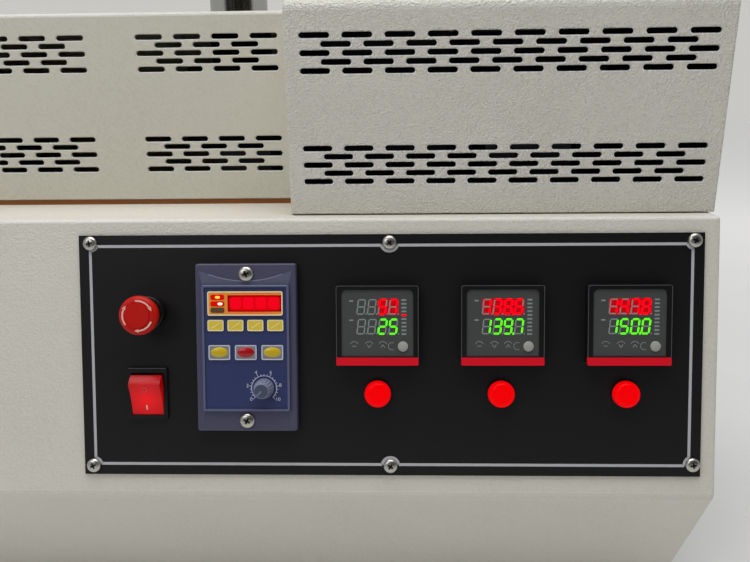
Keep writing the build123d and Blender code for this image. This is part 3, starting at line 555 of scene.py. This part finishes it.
finish_of = {
    "cabinet_shell": cabinet_coat,
    "bottom_plate": cabinet_coat,
    "rubber_feet": foot_rubber,
    "power_inlet": black_abs,
    "control_plate": plate_black,
    "stop_collar": black_abs,
    "stop_stem": bright_steel,
    "stop_head": stop_red,
    "switch_housing": black_abs,
    "power_rocker": rocker_red,
    "speed_controller_body": slate_abs,
    "speed_controller_label": blue_film,
    "speed_display_bezel": bezel_film,
    "speed_display_window": window_red,
    "speed_controller_keys": key_silver,
    "speed_knob": knob_light,
    "lamp_bezels": black_abs,
    "drive_cover": drive_coat,
    "barrel_cover": cover_coat,
    "insulation_plate": brown_board,
    "feed_block": blackened_steel,
    "barrel": blackened_steel,
    "heater_bands": heater_steel,
    "support_blocks": cast_aluminium,
    "die_head": machined_steel,
    "nozzle": turned_brass,
    "hopper_neck": polished_steel,
    "hopper_cone": stainless,
    "hopper_side": stainless,
    "feed_screw": machined_steel,
    "thrust_spacer": cast_aluminium,
    "gearbox": black_enamel,
    "motor": black_enamel,
}
for zone in CONTROLLERS:
    finish_of[f"{zone}_controller_case"] = case_abs
    finish_of[f"{zone}_controller_screen"] = screen_film
    finish_of[f"{zone}_controller_strip"] = strip_red
    finish_of[f"{zone}_lamp"] = lamp_red

for node, finish in finish_of.items():
    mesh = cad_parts[node].data
    mesh.materials.clear()
    mesh.materials.append(finish)


# ---- Screws with a cross recess ----

# Each screw: across, up, and the turn of its recess in degrees
PLATE_SCREWS = [(-182.3, 69.3, 12), (0.9, 69.1, 40), (183.5, 69.5, 68),
                (-183.7, -68.6, 25), (1.1, -68.3, 55), (184.7, -66.9, 8)]
PLATE_SCREW_RADIUS = 4.35
SPEED_SCREWS = [(SPEED[0] + 0.5, SPEED[1] + 44.8, 20), (SPEED[0] + 0.1, SPEED[1] - 44.4, 62)]
SPEED_SCREW_RADIUS = 4.6
HEAD_HEIGHT = 2.4
HEAD_SUNK = 0.4
CROSS_DEPTH = 0.2


def pan_head(radius):
    """A pan-head screw: a domed head with a tapered cross pressed into it."""
    height = HEAD_HEIGHT
    head = lathe([(0, -HEAD_SUNK), (radius, -HEAD_SUNK), (radius, height * 0.3),
                  (radius * 0.93, height * 0.62), (radius * 0.74, height * 0.86),
                  (radius * 0.4, height * 0.98), (0, height)], 32)
    wings = []
    for turn in (0, 90):
        wing = slab(radius * 1.15, radius * 0.32, height)
        bmesh.ops.scale(wing, vec=(0.5, 0.6, 1.0), verts=[v for v in wing.verts if v.co.z < height / 2])
        wing.transform(shifted(z=height * 0.35, turn=turn))
        wings.append(wing)
    return carved(head, wings)


def screw_row(name, screws, radius, out):
    """Several like screws as one piece, and as another the dark crosses of their recesses, painted shade
    because the recesses are too shallow to be dark by themselves."""
    master = as_mesh("screw", pan_head(radius))
    heads, crosses = bmesh.new(), bmesh.new()
    for across, up, recess_turn in screws:
        place = on_panel(across, up, out) @ shifted(turn=recess_turn)
        head = bmesh.new()
        head.from_mesh(master)
        join(heads, head, place)
        for turn in (0, 90):
            arm = slab(radius * 1.06, radius * 0.28, CROSS_DEPTH)
            join(crosses, arm, place @ shifted(z=HEAD_HEIGHT * 0.66, turn=turn))
    bpy.data.meshes.remove(master)
    piece(name, heads, Matrix.Identity(4), zinc_steel, sharp=38.0)
    # The crosses are black: painted shade in the recesses
    piece(f"{name}_recesses", crosses, Matrix.Identity(4), black_abs)


screw_row("plate_screws", PLATE_SCREWS, PLATE_SCREW_RADIUS, 0.0)
screw_row("speed_controller_screws", SPEED_SCREWS, SPEED_SCREW_RADIUS, SPEED_BODY_OUT)


# ---- Silver frame line printed on the plate ----


def frame_line():
    """A thin line round the plate that bows inwards round each screw, closest round the top left one."""
    half_x, half_y, line, depth = 182.5, 67.5, 1.7, 0.06
    at_middle, at_corner, at_top_left = 5.2, 4.9, 4.4
    shape = bmesh.new()
    rows, columns = {1: [], -1: []}, {1: [], -1: []}
    for x, y, _ in PLATE_SCREWS:
        corner = abs(x) > half_x / 2
        reach = at_corner if corner else at_middle
        if corner and x < 0 < y:
            reach = at_top_left
        side_x, side_y = int(copysign(1, x)), int(copysign(1, y))
        drop = side_y * half_y - y
        along = sqrt(reach ** 2 - drop ** 2)
        rows[side_y] += [x - side_x * along] if corner else [x - along, x + along]
        first = degrees(atan2(drop, -side_x * along if corner else -along))
        last = degrees(atan2(drop, along))
        inward = -90.0 * side_y
        if corner:
            over = side_x * half_x - x
            down = -side_y * sqrt(reach ** 2 - over ** 2)
            columns[side_x].append(y + down)
            last = degrees(atan2(down, over))
            inward = degrees(atan2(-side_y, -side_x))
        sweep = (inward - first + 180) % 360 + (last - inward + 180) % 360 - 360
        join(shape, arc(reach - line / 2, reach + line / 2, first, sweep, depth), shifted(x, y))
    for side in (1, -1):
        stops = sorted(rows[side])
        for left, right in (stops[:2], stops[2:]):
            join(shape, slab(right - left, line, depth), shifted((left + right) / 2, side * half_y))
        low, high = sorted(columns[side])
        join(shape, slab(line, high - low, depth), shifted(side * half_x, (low + high) / 2))
    piece("plate_frame_line", shape, on_panel(0, 0), silver_print)


frame_line()


# ---- Emergency stop ----


def twist_arrows():
    """Three clockwise arrows printed round the stop's head."""
    start, sweep, reach, width, ink = 97, -66, 8.8, 0.95, 0.08
    shape = bmesh.new()
    for turn in (0, -120, -240):
        join(shape, arc(reach - width / 2, reach + width / 2, start, sweep, ink), shifted(turn=turn))
        tip = outline([(-0.5, -1.1), (2.1, 0), (-0.5, 1.1)], ink)
        tip.transform(shifted(reach, 0, 0, -90))
        join(shape, tip, shifted(turn=turn + start + sweep))
    piece("stop_arrows", shape, on_panel(*STOP, STOP_HEAD_OUT), arrow_print, "stop_head")


twist_arrows()


# ---- Power switch ----


def rocker_marks():
    """The on and off marks moulded in the rocker's two halves, which lean as its ends stand at rest."""
    high_end, low_end, radius, half_angle = 8.0, 1.3, 13.9, radians(47.8)
    lean = Matrix.Rotation(asin((high_end - low_end) / (2 * radius * sin(half_angle))), 4, "X")
    on_mark, off_mark = slab(0.65, 3.0, 0.5), arc(1.1, 1.6, 0, 360, 0.5)
    piece("rocker_on_mark", on_mark, on_panel(SWITCH[0], SWITCH[1] - 8.0, 2.6) @ lean, white_print,
          "power_rocker")
    piece("rocker_off_mark", off_mark, on_panel(SWITCH[0], SWITCH[1] + 3.6, 6.45) @ lean, faint_print,
          "power_rocker")


def housing_line():
    """A lighter line along the switch housing's upper edge: a painted highlight."""
    width, line, depth, up = 23.6, 0.35, 0.1, 15.8
    piece("switch_housing_top_line", slab(width, line, depth),
          on_panel(SWITCH[0], SWITCH[1] + up, HOUSING_OUT), painted_highlight_abs)


rocker_marks()
housing_line()


# ---- Seven-bar figures ----

BARS = {" ": "", "0": "abcdef", "1": "bc", "2": "abdeg", "3": "abcdg", "4": "bcfg", "5": "acdfg",
        "6": "acdefg", "7": "abc", "8": "abcdefg", "9": "abcdfg"}
BAR_DEPTH = 0.04
SLANT = 0.12


def bar(length, thick):
    """One bar of a figure, pointed at both ends."""
    half, point = length / 2, thick / 2
    return outline([(-half, 0), (-half + point, -point), (half - point, -point), (half, 0),
                    (half - point, point), (-half + point, point)], BAR_DEPTH)


def figures(text, height, pitch, thick, lit=True):
    """Slanted seven-bar figures, the last one centred on the origin. Unlit bars where lit is false."""
    width, gap, dot_across = height * 0.5, thick * 0.18, 0.83
    half = height / 2
    spots = {"a": (0, half, 0), "g": (0, 0, 0), "d": (0, -half, 0),
             "f": (-width / 2, half / 2, 90), "b": (width / 2, half / 2, 90),
             "e": (-width / 2, -half / 2, 90), "c": (width / 2, -half / 2, 90)}
    shape = bmesh.new()
    cells = []
    for letter in text:
        if letter == ".":
            cells[-1][1] = True
        else:
            cells.append([letter, False])
    for index, (letter, dotted) in enumerate(reversed(cells)):
        for name, (x, y, turn) in spots.items():
            if (name in BARS[letter]) == lit:
                length = (width if turn == 0 else half) - 2 * gap
                join(shape, bar(length, thick), shifted(x - index * pitch, y, 0, turn))
        if dotted == lit:
            dot = slab(thick, thick, BAR_DEPTH)
            join(shape, dot, shifted(width * dot_across - index * pitch, -half))
    slant = Matrix.Identity(4)
    slant[0][1] = SLANT
    shape.transform(slant)
    return shape


# ---- Motor speed controller ----


def speed_display():
    """The lit field with four figures, the pale border and three lamps on the bezel's left."""
    # Width, height, depth and corner radius
    field, figure = (30.6, 8.3, 0.06, 1.8), (6.4, 6.8, 0.04, 1.9)
    pill, spot = (8.4, 3.2, 0.12, 1.1), (2.9, 1.5, 0.1, 0.7)
    figure_pitch, field_depth, spot_out, lamps_left = 7.6, field[2], 0.1, 16.6
    piece("speed_display_border", border(45.4, 14.6, 0.7, 1.3, 0.1), on_panel(*DISPLAY, DISPLAY_OUT),
          cream_print)
    piece("speed_display_field", slab(*field), on_panel(*WINDOW, WINDOW_OUT), window_lit)
    blocks = bmesh.new()
    for index in range(4):
        join(blocks, slab(*figure), shifted((index - 1.5) * figure_pitch, 0.2))
    piece("speed_figures", blocks, on_panel(*WINDOW, WINDOW_OUT + field_depth), figure_lit)
    across = DISPLAY[0] - lamps_left
    for name, rise, back, glow, shift in (("upper", 3.8, lamp_back, amber_led, 0.1),
                                          ("middle", -0.2, lamp_back, warm_led, 1.6),
                                          ("lower", -4.0, dark_brown_film, None, 0.0)):
        up = DISPLAY[1] + rise
        piece(f"speed_lamp_{name}_back", slab(*pill), on_panel(across, up, DISPLAY_OUT), back)
        if glow:
            piece(f"speed_lamp_{name}", slab(*spot),
                  on_panel(across + shift, up, DISPLAY_OUT + spot_out), glow)


def speed_keys():
    """Pale borders and yellow fields with a slash on the film keys, a domed oval on each large key."""
    small_pitch, small_row, large_pitch, large_row, oval_row = 12.05, 13.9, 16.05, -2.5, -2.4
    ink, slash, slash_turn = 0.05, (6.4, 0.4), 33
    small_field, small_border = (8.7, 5.8), (9.7, 6.8, 0.6, 1.1, 0.08)
    large_border = (13.1, 9.0, 0.65, 1.0, 0.08)
    fields, slashes, rims, borders = (bmesh.new() for _ in range(4))
    for index in range(4):
        x = (index - 1.5) * small_pitch
        join(fields, slab(*small_field, ink, 0.5), shifted(x, small_row))
        join(slashes, slab(*slash, ink), shifted(x, small_row, 0, slash_turn))
        join(rims, border(*small_border), shifted(x, small_row))
    for index in range(3):
        join(borders, border(*large_border), shifted((index - 1) * large_pitch, large_row))
    piece("small_key_fields", fields, on_panel(*SPEED, KEY_OUT), yellow_film)
    piece("small_key_slashes", slashes, on_panel(*SPEED, KEY_OUT + ink), cream_print)
    piece("small_key_borders", rims, on_panel(*SPEED, KEY_OUT), cream_print)
    piece("large_key_borders", borders, on_panel(*SPEED, KEY_OUT), key_border_print)
    for index, (name, finish) in enumerate((("left", oval_yellow), ("middle", oval_red),
                                            ("right", oval_yellow))):
        oval = lathe([(0, 0.75), (1.6, 0.7), (3.2, 0.52), (4.3, 0.28), (4.9, 0.0)], 36)
        oval.transform(Matrix.Diagonal((1.05, 0.64, 1, 1)))
        across = SPEED[0] + (index - 1) * large_pitch
        piece(f"oval_key_{name}", oval, on_panel(across, SPEED[1] + oval_row, KEY_OUT), finish)


DIAL_NUMBERS = {0: (-7.9, -6.8), 2: (-10.1, 1.5), 4: (-4.8, 9.5), 6: (4.1, 9.5), 8: (9.9, 1.8),
                10: (8.4, -6.8)}
DIAL_START = 225


def dial_scale():
    """Ticks in a ring round the knob, every fourth one long, with the numbers 0 to 10."""
    ring, line, steps, sweep, ink = 7.6, 0.2, 20, 270, 0.05
    long_tick, short_tick, tick_width, size, thin = 1.8, 1.15, 0.32, 3.1, 0.03
    shape = arc(ring - line, ring + line, DIAL_START, -sweep, ink, 48)
    for index in range(steps + 1):
        long = index % 4 == 0
        tick = slab(long_tick if long else short_tick, tick_width, ink)
        tick.transform(shifted(ring + (0.9 if long else 0.55)))
        join(shape, tick, shifted(turn=DIAL_START - index * sweep / steps))
    for number, (x, y) in DIAL_NUMBERS.items():
        join(shape, words(str(number), size, thin), shifted(x, y, thin))
    piece("dial_scale", shape, on_panel(*DIAL, LABEL_OUT), pale_print)


def knob_marks():
    """The knob's face, with a lighter ring round its edge as a painted highlight, and the pointer that
    stands at 0 at rest.
    """
    face_radius, proud = 4.1, 0.02
    cap = lathe([(0, proud), (face_radius, proud), (face_radius, -proud)], 40)
    piece("knob_face", cap, on_panel(*DIAL, KNOB_OUT), knob_dark, "speed_knob")
    # A ring in the knob's lighter grey round the face's edge: a painted highlight
    rim = lathe([(4.05, 0.0), (4.08, 0.04), (4.28, 0.03), (4.38, -0.04)], 40)
    piece("knob_edge_highlight", rim, on_panel(*DIAL, KNOB_OUT), knob_light, "speed_knob")
    length, width, depth = 4.0, 1.05, 0.03
    pointer = slab(length, width, depth)
    pointer.transform(shifted(turn=DIAL_START) @ shifted(length / 2))
    piece("knob_pointer", pointer, on_panel(*DIAL, KNOB_OUT + 0.01), knob_line,
          "speed_knob")


def speed_ribs():
    """The body's moulded steps as flat lighter marks, painted light: a lit cheek under a curved lip that
    bears a painted highlight, lighter mitres, and painted highlights on the frame's edge and top."""
    reach, drop, half_sweep, points = 62.7, 103.3, 20.8, 24
    frame_top, shoulder, low_half, high_half = 38.4, 46.6, 26.0, 27.7
    line, mitre, mitre_turn, mitre_across, mitre_up = 0.22, (8.8, 0.4, 0.2), 78, 27.0, 42.6
    angles = [radians(half_sweep * (2 * i / points - 1)) for i in range(points + 1)]
    lip = [(reach * sin(a), drop - reach * cos(a)) for a in angles]
    cheek = outline([(-low_half, frame_top), (-high_half, shoulder), *lip,
                     (high_half, shoulder), (low_half, frame_top)], 0.22)
    piece("speed_body_cheek", cheek, on_panel(*SPEED, SPEED_BODY_OUT), painted_lit_slate)
    edge = bmesh.new()
    join(edge, arc(reach - line, reach + line, 270 - half_sweep, 2 * half_sweep, 0.34, 32),
         shifted(0, drop))
    piece("speed_body_lip", edge, on_panel(*SPEED, SPEED_BODY_OUT), painted_highlight_slate)
    mitres = bmesh.new()
    for side in (1, -1):
        for half in (1, -1):
            place = shifted(side * mitre_across, half * mitre_up, 0, side * half * mitre_turn)
            join(mitres, slab(*mitre), place)
    piece("speed_body_mitres", mitres, on_panel(*SPEED, SPEED_BODY_OUT), painted_lit_slate)
    piece("speed_frame_edge", border(52.6, 76.6, 1.3, 1.4, 0.1), on_panel(*SPEED, WINDOW_OUT),
          painted_frame_highlight_slate)
    piece("speed_frame_top_line", slab(51.0, 0.4, 0.14),
          on_panel(SPEED[0], SPEED[1] + 38.0, WINDOW_OUT), painted_highlight_slate)


speed_display()
speed_keys()
dial_scale()
knob_marks()
speed_ribs()


# ---- Temperature controllers ----

READINGS = {"feed": ("57", "25"), "barrel": ("138.6", "139.7"), "die": ("147.8", "150.0")}
FIGURE_HEIGHT = 8.6
FIGURE_PITCH = 6.4
LAST_FIGURE = 9.6
ACTUAL_UP = 11.3
WANTED_UP = -0.6
SIDE_LAMPS = 16.0
LIT_SIDE_LAMP = {"feed": 4}
SIDE_LAMP_WIDTH = 2.9
CAPTIONS = ((-15.6, 14.9), (-15.6, 3.3))
KEY_ROW = -12.4
SET_KEY, DOWN_KEY, UP_KEY, LAST_KEY = -13.9, -4.9, 3.3, 8.8
BUTTON = (15.4, -12.6)


def controller_marks(zone, across, texts):
    """The unlit bars of the figures, the side lamps and the marks of the keys, all in one pale shade."""
    first_lamp, lamp_step, thin, line, chevron, cap_row = 15.4, 2.28, 0.75, 0.4, 58, -12.2
    marks = bmesh.new()

    def dash(length, width, x, y, turn=0.0):
        join(marks, slab(length, width, BAR_DEPTH), shifted(x, y, 0, turn))

    for text, up in zip(texts, (ACTUAL_UP, WANTED_UP)):
        unlit = figures(text, FIGURE_HEIGHT, FIGURE_PITCH, thin, False)
        join(marks, unlit, shifted(LAST_FIGURE, up))
    for index in range(10):
        if index != LIT_SIDE_LAMP.get(zone):
            dash(SIDE_LAMP_WIDTH, 1.0, SIDE_LAMPS, first_lamp - index * lamp_step)
    for x, y in CAPTIONS:
        dash(2.4, 0.9, x, y)
    for x in (SET_KEY, DOWN_KEY, UP_KEY):
        join(marks, arc(2.4, 2.75, 25, 130, BAR_DEPTH), shifted(x, cap_row))
    join(marks, arc(2.0, 2.35, 60, 240, BAR_DEPTH), shifted(LAST_KEY, KEY_ROW))
    dash(2.6, line, SET_KEY, KEY_ROW)
    for x, sense in ((DOWN_KEY, -1), (UP_KEY, 1)):
        for side in (1, -1):
            dash(2.1, line, x + side * 0.65, KEY_ROW, -side * sense * chevron)
    piece(f"{zone}_face_marks", marks, on_panel(across, CONTROLLER_UP, SCREEN_OUT), segment_ghost)


def controller_face(zone, across):
    """One controller's red haze, lit figures, marks and round button."""
    texts = [text if "." in text else text.rjust(4) for text in READINGS[zone]]
    count, thin = 2 if zone == "feed" else 4, 0.03
    haze = slab(count * FIGURE_PITCH - 0.4, FIGURE_HEIGHT + 1.2, thin, 1.2)
    haze_middle = across + LAST_FIGURE - (count - 1) * FIGURE_PITCH / 2 + 0.2
    piece(f"{zone}_figures_haze", haze, on_panel(haze_middle, CONTROLLER_UP + ACTUAL_UP, SCREEN_OUT),
          red_glow)
    for text, up, finish, thick, name in ((texts[0], ACTUAL_UP, red_led, 1.5, "actual"),
                                          (texts[1], WANTED_UP, green_led, 1.2, "set")):
        piece(f"{zone}_{name}_figures", figures(text, FIGURE_HEIGHT, FIGURE_PITCH, thick),
              on_panel(across + LAST_FIGURE, CONTROLLER_UP + up, SCREEN_OUT + thin), finish)
    controller_marks(zone, across, texts)
    button = lathe([(0, 0.9), (2.4, 0.86), (2.95, 0.6), (3.1, 0.2), (3.1, 0)], 36)
    place = on_panel(across + BUTTON[0], CONTROLLER_UP + BUTTON[1], SCREEN_OUT)
    piece(f"{zone}_round_button", button, place, button_grey)
    if zone in LIT_SIDE_LAMP:
        piece(f"{zone}_output_light", slab(SIDE_LAMP_WIDTH, 1.3, 0.05, 0.3),
              on_panel(across + SIDE_LAMPS, CONTROLLER_UP + 6.3, SCREEN_OUT), red_led)


def case_rims():
    """A thin lighter line round each controller's case: a painted highlight on its edge."""
    shape = bmesh.new()
    for across in CONTROLLERS.values():
        join(shape, border(*CASE_SIZE, 0.3, 1.2, 0.12), shifted(across, CONTROLLER_UP))
    piece("controller_case_rims", shape, on_panel(0, 0, CASE_OUT), painted_highlight_abs)


for zone, across in CONTROLLERS.items():
    controller_face(zone, across)
case_rims()


# ---- Dark sheets of painted shade, hopper welds, die bolts and mains pins, placed by the boxes of the CAD nodes ----


def standing(x, y):
    """Place of a piece drawn in millimetres about an upright axis, with its heights from the ground."""
    return Matrix.Translation((x, y, 0)) @ Matrix.Scale(MM, 4)


def cover_lining():
    """Black sheets of painted shade inside the drive cover: a floor, a back and two ends."""
    inset, sheet, lift = 6.0 * MM, 1.0 * MM, 0.2 * MM
    low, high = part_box("drive_cover")
    low, high = low + Vector((inset, inset, lift)), high - Vector((inset, inset, inset))
    shape = bmesh.new()
    for near, far in ((low, Vector((high.x, high.y, low.z + sheet))),
                      (Vector((low.x, high.y - sheet, low.z)), high),
                      (low, Vector((low.x + sheet, high.y, high.z))),
                      (Vector((high.x - sheet, low.y, low.z)), high)):
        size, middle = far - near, (near + far) / 2
        join(shape, slab(*size), Matrix.Translation((middle.x, middle.y, near.z)))
    piece("drive_cover_painted_shade", shape, Matrix.Identity(4), painted_shade_black)


def neck_sleeve():
    """A black sleeve of painted shade round the hopper's neck, inside the barrel cover."""
    gap, outside, foot_gap, below_cover = 0.3, 1.3, 0.5, 4.0
    low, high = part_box("hopper_neck")
    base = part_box("feed_block")[1].z / MM + foot_gap
    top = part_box("barrel_cover")[1].z / MM - below_cover
    radius = (high.x - low.x) / 2 / MM
    ring = [(radius + gap, base), (radius + outside, base), (radius + outside, top), (radius + gap, top),
            (radius + gap, base)]
    middle = (low + high) / 2
    piece("neck_sleeve", lathe(ring, 48), standing(middle.x, middle.y), painted_shade_black)


def hopper_welds():
    """Ground weld beads where the hopper's neck, cone and side meet."""
    half_width, half_height, points, side_inset = 0.45, 0.8, 10, 2.5
    low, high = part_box("hopper_neck")
    side_low, side_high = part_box("hopper_side")
    neck_radius = (high.x - low.x) / 2 / MM
    side_radius = (side_high.x - side_low.x) / 2 / MM - side_inset
    shape = bmesh.new()
    for radius, height in ((neck_radius, high.z / MM), (side_radius, side_low.z / MM)):
        angles = [a * tau / points for a in range(points + 1)]
        bead = [(radius + half_width * cos(a), height + half_height * sin(a)) for a in angles]
        join(shape, lathe(bead, 72))
    middle = (low + high) / 2
    piece("hopper_welds", shape, standing(middle.x, middle.y), weld_steel)


def die_bolts():
    """Six socket-head bolts through the die's flange."""
    count, circle_radius, flange, start = 6, 28.6, 8.0, 30
    low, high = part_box("die_head")
    middle = (low + high) / 2
    face = Vector((high.x - flange * MM, middle.y, middle.z))
    shape = bmesh.new()
    for index in range(count):
        head = lathe([(0, 1.2), (1.4, 1.2), (1.4, 3.2), (2.6, 3.2), (2.9, 2.9), (2.9, 0)], 28)
        join(shape, head, shifted(turn=360 / count * index + start) @ shifted(circle_radius))
    piece("die_bolts", shape, facing(face, Vector((0, -1, 0)), Vector((0, 0, 1))), bright_steel)


def inlet_pins():
    """Three flat contacts inside the mains inlet, standing on the floor of its socket."""
    socket_floor, pin = 2.0, (2.0, 4.0, 14.0)
    low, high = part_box("power_inlet")
    middle = (low + high) / 2
    foot = Vector((middle.x, low.y + socket_floor * MM, middle.z))
    shape = bmesh.new()
    for x, y in ((-7.0, -2.0), (7.0, -2.0), (0.0, 2.0)):
        join(shape, slab(*pin, ease=0.4), shifted(x, y))
    piece("inlet_pins", shape, facing(foot, Vector((-1, 0, 0)), Vector((0, 0, 1))), pin_brass)


cover_lining()
neck_sleeve()
hopper_welds()
die_bolts()
inlet_pins()


# ---- Light, floor, background and camera ----

WALL = "#C8C7C4"
FLOOR_HALF_SIZE = 6.0
PHOTO_WIDTH_PX = 750
FOCAL_LENGTH_PX = 678.97
CAMERA_AT = (0.0953, -0.50895, 0.36818)
CAMERA_YAW, CAMERA_PITCH, CAMERA_ROLL = radians(-1.698), radians(16.16), radians(0.666)


def sky():
    """A soft white room that is dark behind the camera, and a pale wall where the camera looks past the
    machine."""
    world = bpy.data.worlds.new("studio")
    bpy.context.scene.world = world
    world.use_nodes = True
    tree = world.node_tree
    tree.nodes.clear()
    path = add(tree, "LightPath")
    seen = add(tree, "Math", {0: path.outputs["Is Camera Ray"], 1: path.outputs["Is Transmission Ray"]},
               operation="MAXIMUM")
    way = add(tree, "TexCoord").outputs["Generated"]
    behind_camera = (0.17, -0.98, 0.08)
    towards = add(tree, "VectorMath", {0: way, 1: behind_camera}, operation="DOT_PRODUCT")
    darker = add(tree, "MapRange", {"Value": towards.outputs["Value"], "From Min": 0.44,
                                    "From Max": 0.68}, interpolation_type="SMOOTHSTEP")
    shade = blend(tree, darker.outputs["Result"], colour("#E9EBEE"), colour("#2E2B28"))
    room = add(tree, "Background", {"Color": shade, "Strength": 0.46})
    wall = add(tree, "Background", {"Color": colour(WALL), "Strength": 1.0})
    mix = add(tree, "MixShader", {0: seen.outputs["Value"], 1: room.outputs["Background"],
                                  2: wall.outputs["Background"]})
    add(tree, "OutputWorld", {"Surface": mix.outputs["Shader"]})


def softbox(name, at, aim, size, power):
    """A rectangular soft light at a place, turned towards another."""
    light = bpy.data.lights.new(name, "AREA")
    light.shape = "RECTANGLE"
    light.size, light.size_y = size
    light.energy = power
    turn = (Vector(aim) - Vector(at)).to_track_quat("-Z", "Y").to_matrix().to_4x4()
    in_scene(name, light).matrix_world = Matrix.Translation(at) @ turn


def studio_floor():
    """A wide pale floor that fades into the wall's shade away from the machine, like a studio cove."""
    finish, tree, shader, place = new_finish("pale_matt_floor", "#E2E2E0", 0.7)
    tinted(tree, shader, "#E4E4E2", "#DFDFDD", noise(tree, place, 120, 2.0))
    away = add(tree, "VectorMath", {0: place}, operation="LENGTH")
    fade = add(tree, "MapRange", {"Value": away.outputs["Value"], "From Min": 0.35, "From Max": 1.8,
                                  "To Max": 0.54}, interpolation_type="SMOOTHSTEP")
    camera_ray = add(tree, "LightPath").outputs["Is Camera Ray"]
    seen = add(tree, "Math", {0: fade.outputs["Result"], 1: camera_ray}, operation="MULTIPLY")
    fill(tree, shader, {"Emission Color": colour(WALL), "Emission Strength": seen.outputs["Value"]})
    shape = bmesh.new()
    bmesh.ops.create_grid(shape, x_segments=1, y_segments=1, size=FLOOR_HALF_SIZE)
    mesh = as_mesh("studio_floor", shape)
    mesh.materials.append(finish)
    in_scene("studio_floor", mesh)


def photograph_camera():
    """The camera that the photograph's straight lines give."""
    yaw, pitch, roll = CAMERA_YAW, CAMERA_PITCH, CAMERA_ROLL
    ahead = Vector((sin(yaw) * cos(pitch), cos(yaw) * cos(pitch), -sin(pitch)))
    level = Vector((cos(yaw), -sin(yaw), 0))
    down = ahead.cross(level)
    right = level * cos(roll) + down * sin(roll)
    up = level * sin(roll) - down * cos(roll)
    lens = bpy.data.cameras.new("photograph_camera")
    lens.sensor_width = 36.0
    lens.lens = FOCAL_LENGTH_PX * lens.sensor_width / PHOTO_WIDTH_PX
    lens.clip_start = 0.01
    camera = in_scene("photograph_camera", lens)
    camera.matrix_world = (Matrix.Translation(CAMERA_AT)
                           @ Matrix((right, up, -ahead)).transposed().to_4x4())
    bpy.context.scene.camera = camera


sky()
softbox("overhead_softbox", (0.05, -0.2, 2.0), (0.05, 0.0, 0.3), (1.8, 1.2), 29.0)
softbox("front_softbox", (-1.1, -1.8, 1.5), (0.0, 0.0, 0.25), (1.2, 0.9), 10.0)
studio_floor()
photograph_camera()
bpy.context.scene.view_settings.view_transform = "Standard"
